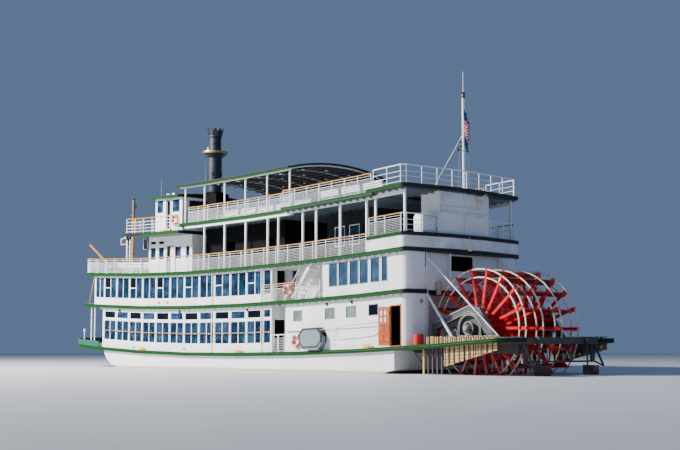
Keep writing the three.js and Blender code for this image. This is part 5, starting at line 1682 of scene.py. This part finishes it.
class BOAT_OT_bridge_fittings(Operator):
    """Loudspeakers under the bridge, and the aerials, searchlight and horn above it"""

    bl_idname = "boat.bridge_fittings"
    bl_label = "Bridge Fittings"

    def execute(self, context):
        parts, frames = [], []
        for (x0, x1), (y0, y1), (z0, z1) in (((29.4, 30.2), (4.45, 4.85), (9.06, 9.56)),
                                             ((28.75, 29.3), (3.0, 3.4), (8.75, 9.6)),
                                             ((29.0, 30.3), (1.0, 1.6), (9.0, 9.6))):
            parts.append(block((x0, y0, z0), (x1, y1, z1), 0.02))
            back, front, middle = y1 - 0.02, y1 + 0.015, (x0 + x1) / 2
            x0, x1 = x0 - 0.02, x1 + 0.02
            frames += [block((x0, back, z), (x1, front, z + 0.04), 0.006) for z in (z0, z1 - 0.04)]
            frames += [block((x, back, z0), (x + 0.04, front, z1), 0.006) for x in (x0, x1 - 0.04)]
            frames.append(block((middle - 0.04, y0 + 0.1, z1 - 0.02),
                                (middle + 0.04, y1 - 0.1, under(BRIDGE) + 0.02), 0.006))
        finish_pair(parts, "loudspeakers", "black")
        finish_pair(frames, "loudspeaker_frames", "white")

        locker = block((23.8, 4.5, top(BRIDGE)), (24.65, 4.75, top(BRIDGE) + 0.19), 0.02)
        recess(locker, UP, 0.03, (0, 0, 0.02))
        finish_pair(leave_edit(), "bridge_lockers", "yellow")

        roof = 12.8
        parts = [
            spun([(0, -0.16), (0.12, -0.16), (0.19, -0.06), (0.2, 0.12), (0.18, 0.14), (0.18, 0.1), (0, 0.1)],
                 (28.8, 0.9, roof + 0.42), (1, 0, 0.1)),
            rod((28.8, 0.9, roof), (28.8, 0.9, roof + 0.28), 0.035),
            spun([(0, 0), (0.1, 0), (0.1, 0.03), (0, 0.03)], (28.8, 0.9, roof)),
            block((27.58, 1.86, roof - 0.02), (27.66, 2.1, roof + 0.3), 0.01),
            rod((28.6, 2.3, roof - 0.06), (28.6, 2.3, 14.3), 0.022, 6, 0.008),
            rod((19.85, 4.4, ROOF_EDGE - 0.04), (19.85, 4.4, 14.6), 0.022, 6, 0.008),
        ]
        horn = [(0, 0), (0.03, 0), (0.035, 0.3), (0.06, 0.42), (0.12, 0.5), (0.1, 0.5), (0.03, 0.42),
                (0, 0.4)]
        parts += [spun(horn, (27.6, y, roof + 0.3), (1, 0, 0)) for y in (1.9, 2.06)]
        finish(parts, "aerials_and_searchlight", "bright")
        return {"FINISHED"}


class BOAT_OT_funnel_fittings(Operator):
    """Gilt band, hoops, lugs and whistle of the funnel, and the black casing round its foot"""

    bl_idname = "boat.funnel_fittings"
    bl_label = "Funnel Fittings"

    def execute(self, context):
        x, girth = 24.75, 0.53
        gilt = spun([(0.88, 16.2), (0.95, 16.2), (0.965, 16.24), (0.965, 16.33), (0.95, 16.37), (0.88, 16.37),
                     (0.88, 16.2)], (x, 0, 0), steps=48)
        finish(gilt, "funnel_band", "brass")

        parts = [torus((x, 0, z), reach, 0.02, steps=40, sides=8)
                 for z, reach in ((13.9, girth), (14.75, girth), (15.6, girth), (16.9, 0.46), (17.42, 0.47))]
        lug = block((0.5, -0.05, -0.08), (0.6, 0.05, 0.08), 0.012)
        parts.append(copies(lug, [at(x, 0, 14.6, math.tau * i / 4 + 0.5) for i in range(4)]))
        for turn in (0.9, 3.0, 5.1):
            foot = (x + girth * math.cos(turn), girth * math.sin(turn))
            parts.append(rod((*foot, 13.3), (*foot, 15.85), 0.012, 4))
        finish(parts, "funnel_hoops", "funnel")

        whistle = [rod((25.64, 0, 16.3), (25.64, 0, 16.5), 0.025),
                   spun([(0, 0), (0.07, 0), (0.07, 0.1), (0.04, 0.11), (0.04, 0.13), (0.07, 0.14),
                         (0.07, 0.3), (0.03, 0.36), (0, 0.37)], (25.64, 0, 16.48), steps=18)]
        finish(whistle, "funnel_whistle", "bright")

        foot, head = top(BRIDGE) + 0.01, 13.05
        collar = [(0.54, 0), (0.72, 0), (0.68, 0.16), (0.54, 0.2), (0.54, 0)]
        casing = [block((23.75, -0.62, foot), (25.25, 0.62, head), 0.03),
                  spun(collar, (x, 0, head - 0.01), steps=32)]
        casing += [block((door, 0.6, foot + 1.6), (door + 0.25, 0.645, foot + 2.5), 0.01)
                   for door in (24.0, 24.4, 24.8)]
        finish(casing, "funnel_casing", "dark")
        return {"FINISHED"}


class BOAT_OT_mast_fittings(Operator):
    """Lamps, crossbar, stay and halyards of the masts"""

    bl_idname = "boat.mast_fittings"
    bl_label = "Mast Fittings"

    def execute(self, context):
        x = STERN_FACE
        foot = top(DECK_4_AFT) + sheer(x)
        lamp = [(0, 0), (0.1, 0), (0.13, 0.04), (0.11, 0.08), (0.11, 0.24), (0.14, 0.28), (0.05, 0.36),
                (0, 0.37)]
        lamps = [spun(lamp, (x, 0, foot + 5.66), steps=20), spun(lamp, (x + 0.2, 0, 13.7), steps=16),
                 rod((x, 0.6, 13.45), (x, -0.39, 13.45), 0.028),
                 block((x - 0.06, 0.52, 13.36), (x + 0.06, 0.64, 13.54), 0.01),
                 block((x - 0.05, -0.42, 13.38), (x + 0.05, -0.32, 13.5), 0.01),
                 block((x, -0.03, 13.66), (x + 0.22, 0.03, 13.71), 0.006)]
        finish(lamps, "stern_mast_lamps", "black", bends=False)
        wires = [rod((x, 0, 14.53), (2.1, 0, foot - 0.12), 0.016, 6),
                 rod((x - 0.105, 0, foot + 5.5), (x - 0.105, 0, foot + 0.9), 0.007, 4),
                 rod((x - 0.02, 0, foot + 0.95), (x - 0.13, 0, foot + 0.95), 0.02, 6)]
        wires += [rod((x, hand * 0.4, 13.45), (x, hand * 0.5, foot), 0.007, 4) for hand in (1, -1)]
        finish(wires, "stern_mast_stay", "white", bends=False)

        x = 36.2
        foot = top(DECK_3) + sheer(x)
        bands = [torus((x, 0, z), 0.125, 0.022, steps=24, sides=8) for z in (9.3, 10.7, 12.2)]
        cap = [(0, 0), (0.13, 0), (0.14, 0.05), (0.06, 0.12), (0, 0.13)]
        bands += [spun(lamp, (x + 0.24, 0, 12.4), steps=16), spun(cap, (x, 0, foot + 6.27), steps=18),
                  block((x, -0.03, 12.36), (x + 0.26, 0.03, 12.41), 0.006),
                  block((x - 0.3, -0.03, 13.2), (x - 0.1, 0.03, 13.26), 0.006),
                  block((x - 0.36, -0.06, 13.1), (x - 0.26, 0.06, 13.32), 0.02)]
        finish(bands, "bow_mast_bands", "black", bends=False)
        return {"FINISHED"}


def limp_flag(name, head, hoist, fly, droop, width, folds, coats, kind_of):
    """A flag hanging limp down its mast: pleated across to its true length, and slid down by its weight."""
    rows, columns = 26, 120
    shares = np.linspace(0, 1, columns + 1)

    def path(depth):
        swing = depth * (0.55 + 0.45 * np.sin(shares * 2.2 + 0.3))
        return np.stack([-width * shares, swing * np.sin(2 * math.pi * folds * shares)], 1)

    low, high = 0.0, 1.0
    for _ in range(40):
        middle = (low + high) / 2
        long = np.linalg.norm(np.diff(path(middle), axis=0), axis=1).sum()
        low, high = (middle, high) if long < fly else (low, middle)
    line = path(low)
    points, faces = [], []
    for row in range(rows + 1):
        for (px, py), share in zip(line, shares):
            fall = droop * (1 - (1 - share) ** 1.6)
            points.append((head[0] + px, head[1] + py, head[2] - hoist * row / rows - fall))
    for row in range(rows):
        for column in range(columns):
            start = row * (columns + 1) + column
            faces.append((start, start + 1, start + columns + 2, start + columns + 1))
    mesh = bpy.data.meshes.new(name)
    mesh.from_pydata(points, [], faces)
    kinds = [kind_of(i // columns / rows, i % columns / columns) for i in range(len(faces))]
    mesh.polygons.foreach_set("material_index", kinds)
    flag = linked(name, mesh)
    for coat in coats:
        mesh.materials.append(COATS[coat])
    pick(flag)
    bpy.ops.object.modifier_add(type="SOLIDIFY")
    flag.modifiers[0].thickness = 0.006
    bpy.ops.object.modifier_apply(modifier=flag.modifiers[0].name)
    finish(flag, name, coats, bends=False, smooth=80)
    return flag


class BOAT_OT_flags(Operator):
    """Hang the striped flag and the plain blue flag limp on the stern mast"""

    bl_idname = "boat.flags"
    bl_label = "Flags"

    def execute(self, context):
        def striped(down, out):
            if down < 7 / 13 and out < 0.4:
                return 2
            return int(down * 13) % 2

        x = -0.96
        limp_flag("striped_flag", (x, 0, 15.98), 1.05, 1.8, 0.92, 0.34, 4,
                  ["stripe_red", "stripe_white", "blue"], striped)
        limp_flag("blue_flag", (x, 0, 14.32), 0.5, 0.8, 0.4, 0.2, 3, ["blue"], lambda down, out: 0)
        return {"FINISHED"}


# Awning, stern and deck furniture


def vault_height(y):
    """Height of the awning's underside across the boat."""
    radius = (AWNING_HALF ** 2 + ROOF_CROWN ** 2) / (2 * ROOF_CROWN)
    return math.sqrt(radius ** 2 - y ** 2) - radius + ROOF_EDGE + ROOF_CROWN - 0.12


class BOAT_OT_awning_details(Operator):
    """Green fascias and a rolled hem along the awning, with purlins and lamps below it"""

    bl_idname = "boat.awning_details"
    bl_label = "Awning Details"

    def execute(self, context):
        aft, front, half = 10.5, 23.36, AWNING_HALF
        fascia = [block((aft, half - 0.02, ROOF_EDGE - 0.17), (front, half + 0.015, ROOF_EDGE - 0.07), 0.006),
                  level_pipe([(front, half + 0.01), (aft, half + 0.01)], ROOF_EDGE - 0.17, 0.022)]
        finish_pair(fascia, "awning_fascias", "green")
        hem = level_pipe([(front + 0.02, half), (aft, half)], ROOF_EDGE - 0.01, 0.055, 8)
        finish_pair(hem, "awning_hems", "canvas")
        arch = [(y, vault_height(y) + 0.05) for y in np.linspace(-half, half, 21)]
        hoops = [pipe([(x, y, z) for y, z in arch], 0.045, 8) for x in (front + 0.01, aft)]
        finish(hoops, "awning_end_hoops", "canvas")
        purlins = [level_pipe([(front - 0.1, y), (aft + 0.1, y)], vault_height(y) - 0.13, 0.028)
                   for y in (-3.5, -2.8, -2.1, -1.4, -0.7, 0, 0.7, 1.4, 2.1, 2.8, 3.5)]
        finish(purlins, "awning_purlins", "shade")
        lamp = spun([(0, 0), (0.09, 0), (0.11, -0.03), (0.09, -0.07), (0, -0.08)], (0, 0, 0), steps=16)
        lamps = copies(lamp, [at(x, y, vault_height(y) - 0.15)
                              for x in (11.8, 14.2, 16.6, 19.0, 21.4) for y in (-2.1, 0, 2.1)])
        finish(lamps, "awning_lamps", "white")
        return {"FINISHED"}


class BOAT_OT_stern_fittings(Operator):
    """Screen joints, a bare name board, horn, lamps, pipes and lockers on the stern"""

    bl_idname = "boat.stern_fittings"
    bl_label = "Stern Fittings"

    def execute(self, context):
        face = STERN_FACE
        lift = sheer(face)
        foot, head = top(DECK_3_AFT) + lift, under(DECK_4_AFT) + lift
        white = [block((face - 0.03, y - 0.03, foot), (face, y + 0.03, head), 0.006)
                 for y in (2.2, 0.18, -2.2)]
        white += [block((face - 0.02, -2.2, z), (face, 2.2, z + 0.04), 0.005)
                  for z in (foot + 0.02, head - 0.06)]
        white += [rod((face - 0.06, 0, foot), (face - 0.06, 0, head), 0.04, 10),
                  rod((face - 0.12, 1.4, 5.65), (face - 0.12, 1.4, 8.1), 0.045),
                  rod((face - 0.4, 0, 7.66), (face - 0.4, 0, foot - 0.1), 0.018, 6),
                  rod((face + 0.04, 2.9, 6.9), (face - 0.12, 2.9, 7.4), 0.025, 6)]
        board = block((face - 0.09, -1.97, 9.58), (face - 0.04, 2.1, 9.92), 0.006)
        recess(board, (-1, 0, 0), 0.03, (0.015, 0, 0))
        white.append(leave_edit())
        shelf = [(face, 9.5), (face - 0.26, 9.5), (face - 0.26, 9.56), (face, 9.58)]
        knee = [(face, 9.2), (face - 0.2, 9.5), (face, 9.5)]
        white.append(side_plate(shelf, -2.05, 2.18, 0.005))
        white += [side_plate(knee, y - 0.015, y + 0.015) for y in (-1.8, -0.6, 0.6, 1.8)]
        finish(white, "stern_board_and_pipes", "white", bends=False)

        bell = [(0, 0), (0.042, 0), (0.07, 0.06), (0.14, 0.25), (0.29, 0.43), (0.315, 0.48), (0.287, 0.48),
                (0.12, 0.28), (0, 0.24)]
        lamp = [(0, 0), (0.13, 0), (0.15, 0.08), (0.15, 0.3), (0.09, 0.38), (0, 0.4)]
        cream = [spun(bell, (face - 0.12, -1.0, 10.68), (-0.88, -0.77, -0.28)),
                 rod((face - 0.05, -1.2, 9.95), (face - 0.2, -1.21, 10.64), 0.04),
                 spun(lamp, (face - 0.4, -0.02, 7.28), steps=18),
                 rod((face - 0.02, 1.9, 10.3), (face - 0.2, 1.9, 10.3), 0.03, 6),
                 block((face - 0.26, 1.82, 10.22), (face - 0.14, 1.98, 10.5), 0.015)]
        finish(cream, "stern_horn_and_lamps", "cream", bends=False)

        locker = block((-0.72, 2.35, foot), (-0.1, 3.65, foot + 1.02), 0.04)
        pick_faces(locker, facing(UP))
        push((0.08, 0, 0.12))
        bpy.ops.transform.resize(value=(0.8, 0.9, 1))
        finish(bevel(leave_edit(), 0.02), "stern_locker", "white", bends=False)

        cables = [rod((face - 0.03, 3.45, 7.05), (face - 0.03, 3.45, 6.2), 0.02, 6),
                  pipe([(face - 0.05, -0.9, foot - 0.1), (face - 0.3, -0.9, 7.5), (face - 0.35, -1.1, 7.2)],
                       0.014)]
        finish(cables, "stern_cables", "black", bends=False)
        return {"FINISHED"}


class BOAT_OT_benches(Operator):
    """Slatted benches on the open decks"""

    bl_idname = "boat.benches"
    bl_label = "Benches"

    def execute(self, context):
        end = 0.85
        parts = [block((-end, y, 0.42), (end, y + 0.1, 0.45), 0.008) for y in (-0.2, -0.07, 0.06)]
        parts += [block((-end, 0.2 + z * 0.12, 0.5 + z), (end, 0.23 + z * 0.12, 0.6 + z), 0.008)
                  for z in (0.06, 0.2, 0.34)]
        for x in (-0.7, 0, 0.7):
            leg = [(x - 0.02, 0), (x + 0.02, 0), (x + 0.02, 0.42), (x - 0.02, 0.42)]
            parts += [side_plate(leg, -0.2, -0.16), side_plate(leg, 0.12, 0.16),
                      rod((x, 0.16, 0.4), (x, 0.28, 0.98), 0.02, 6)]
        # Rows: where they stand, how far out, on which deck, and the side on which they aren't turned
        under_awning = np.arange(12.0, 22.0, 2.0)
        rows = ((under_awning, 0.5, DECK_4, -1), (under_awning, 2.2, DECK_4, -1),
                (np.arange(3.6, 9.5, 2.0), 3.2, DECK_4, 1), ((30.2, 32.2, 34.0), 2.0, DECK_3, 1))
        places = [at(x, hand * y, top(level), 0 if hand == plain else math.pi)
                  for xs, y, level, plain in rows for x in xs for hand in (1, -1)]
        finish(copies(joined(parts), places), "deck_benches", "white")
        return {"FINISHED"}


# Stage

FLOOR_HALF = 90
# The camera as solved from the photograph: focal length and sensor in mm, place in m, turn in degrees
CAMERA_LENS = (63.53, 36)
CAMERA_PLACE = (-31.997, 27.016, 1.354)
CAMERA_TURN = (95.758, 0, -132.053)


class BOAT_OT_stage(Operator):
    """Lay the floor at the waterline and set the lights and the camera"""

    bl_idname = "boat.stage"
    bl_label = "Stage"

    def execute(self, context):
        stage = context.scene.boat_stage
        deselect()
        bpy.ops.mesh.primitive_plane_add(size=2, location=(0, 0, WATERLINE))
        floor = bpy.context.object
        floor.name = "studio_floor"
        floor.scale = (FLOOR_HALF, FLOOR_HALF, 1)
        settle(floor)
        coat = Coat("studio_floor_paint", 0.5, specular=0.3)
        tint = tuple(stage.floor)
        grain = coat.spots(1.1, 6, 0.3, 0.7)
        coat.bump(coat.noise(9.0, 4), 0.05, 0.02)
        floor.data.materials.append(coat.done(coat.mix(grain, darker(tint, 0.94), tint)))

        for name, power, size, place, aim, tint in (
            ("key", stage.sun, 4.0, (17, 27, 24), (0, 0, 4), (1.0, 0.97, 0.92)),
            ("bow_fill", stage.sun * 0.05, 12.0, (30, 26, 16), (2, 0, 4), (0.93, 0.96, 1.0)),
            ("stern_fill", stage.sun * 0.012, 14.0, (-34, 4, 14), (-6, 0, 4), (0.40, 0.55, 1.0)),
        ):
            lamp = bpy.data.lights.new(name, "AREA")
            lamp.shape = "DISK"
            lamp.size = size
            lamp.energy = power * 3000
            lamp.color = tint
            obj = linked(name, lamp)
            obj.location = place
            obj.rotation_euler = (Vector(aim) - Vector(place)).to_track_quat("-Z", "Y").to_euler()

        world = bpy.data.worlds.new("studio")
        context.scene.world = world
        world.use_nodes = True
        background = world.node_tree.nodes["Background"]
        background.inputs["Color"].default_value = (0.38, 0.58, 1.0, 1.0)
        background.inputs["Strength"].default_value = stage.sky

        lens = bpy.data.cameras.new("camera")
        lens.lens, lens.sensor_width = CAMERA_LENS
        lens.clip_end = 400
        camera = linked("camera", lens)
        camera.location = CAMERA_PLACE
        camera.rotation_euler = [math.radians(turn) for turn in CAMERA_TURN]
        context.scene.camera = camera
        return {"FINISHED"}


GROUPS = (BoatPaint, BoatRails, BoatStage)
STEPS = (
    BOAT_OT_frame_finish, BOAT_OT_cabin_windows, BOAT_OT_aft_windows, BOAT_OT_upper_windows, BOAT_OT_doorways,
    BOAT_OT_railings, BOAT_OT_side_handrails, BOAT_OT_deck_edges, BOAT_OT_deck_brackets, BOAT_OT_life_rings,
    BOAT_OT_engine_doors, BOAT_OT_side_drum, BOAT_OT_wall_fittings, BOAT_OT_wheel_details, BOAT_OT_drive_gear,
    BOAT_OT_side_deck, BOAT_OT_landing_stairs, BOAT_OT_bow_fittings, BOAT_OT_bridge_fittings,
    BOAT_OT_funnel_fittings, BOAT_OT_mast_fittings, BOAT_OT_flags, BOAT_OT_awning_details,
    BOAT_OT_stern_fittings, BOAT_OT_benches, BOAT_OT_stage,
)


class BOAT_PT_panel(Panel):
    """Every step of the boat, in the order they are made"""

    bl_idname = "BOAT_PT_panel"
    bl_label = "Sternwheel Boat"
    bl_space_type = "VIEW_3D"
    bl_region_type = "UI"
    bl_category = "Boat"

    def draw(self, context):
        for group in (context.scene.boat_paint, context.scene.boat_rails, context.scene.boat_stage):
            box = self.layout.box()
            for key in group.bl_rna.properties.keys():
                if key not in ("rna_type", "name"):
                    box.prop(group, key)
        for step in STEPS:
            self.layout.operator(step.bl_idname)


def register():
    for kind in (*GROUPS, *STEPS, BOAT_PT_panel):
        bpy.utils.register_class(kind)
    bpy.types.Scene.boat_paint = PointerProperty(type=BoatPaint)
    bpy.types.Scene.boat_rails = PointerProperty(type=BoatRails)
    bpy.types.Scene.boat_stage = PointerProperty(type=BoatStage)


def unregister():
    del bpy.types.Scene.boat_stage
    del bpy.types.Scene.boat_rails
    del bpy.types.Scene.boat_paint
    for kind in reversed((*GROUPS, *STEPS, BOAT_PT_panel)):
        bpy.utils.unregister_class(kind)


def main():
    register()
    for step in STEPS:
        group, name = step.bl_idname.split(".")
        if getattr(getattr(bpy.ops, group), name)() != {"FINISHED"}:
            raise RuntimeError(f"{step.bl_label} did not finish")


if __name__ == "__main__":
    main()
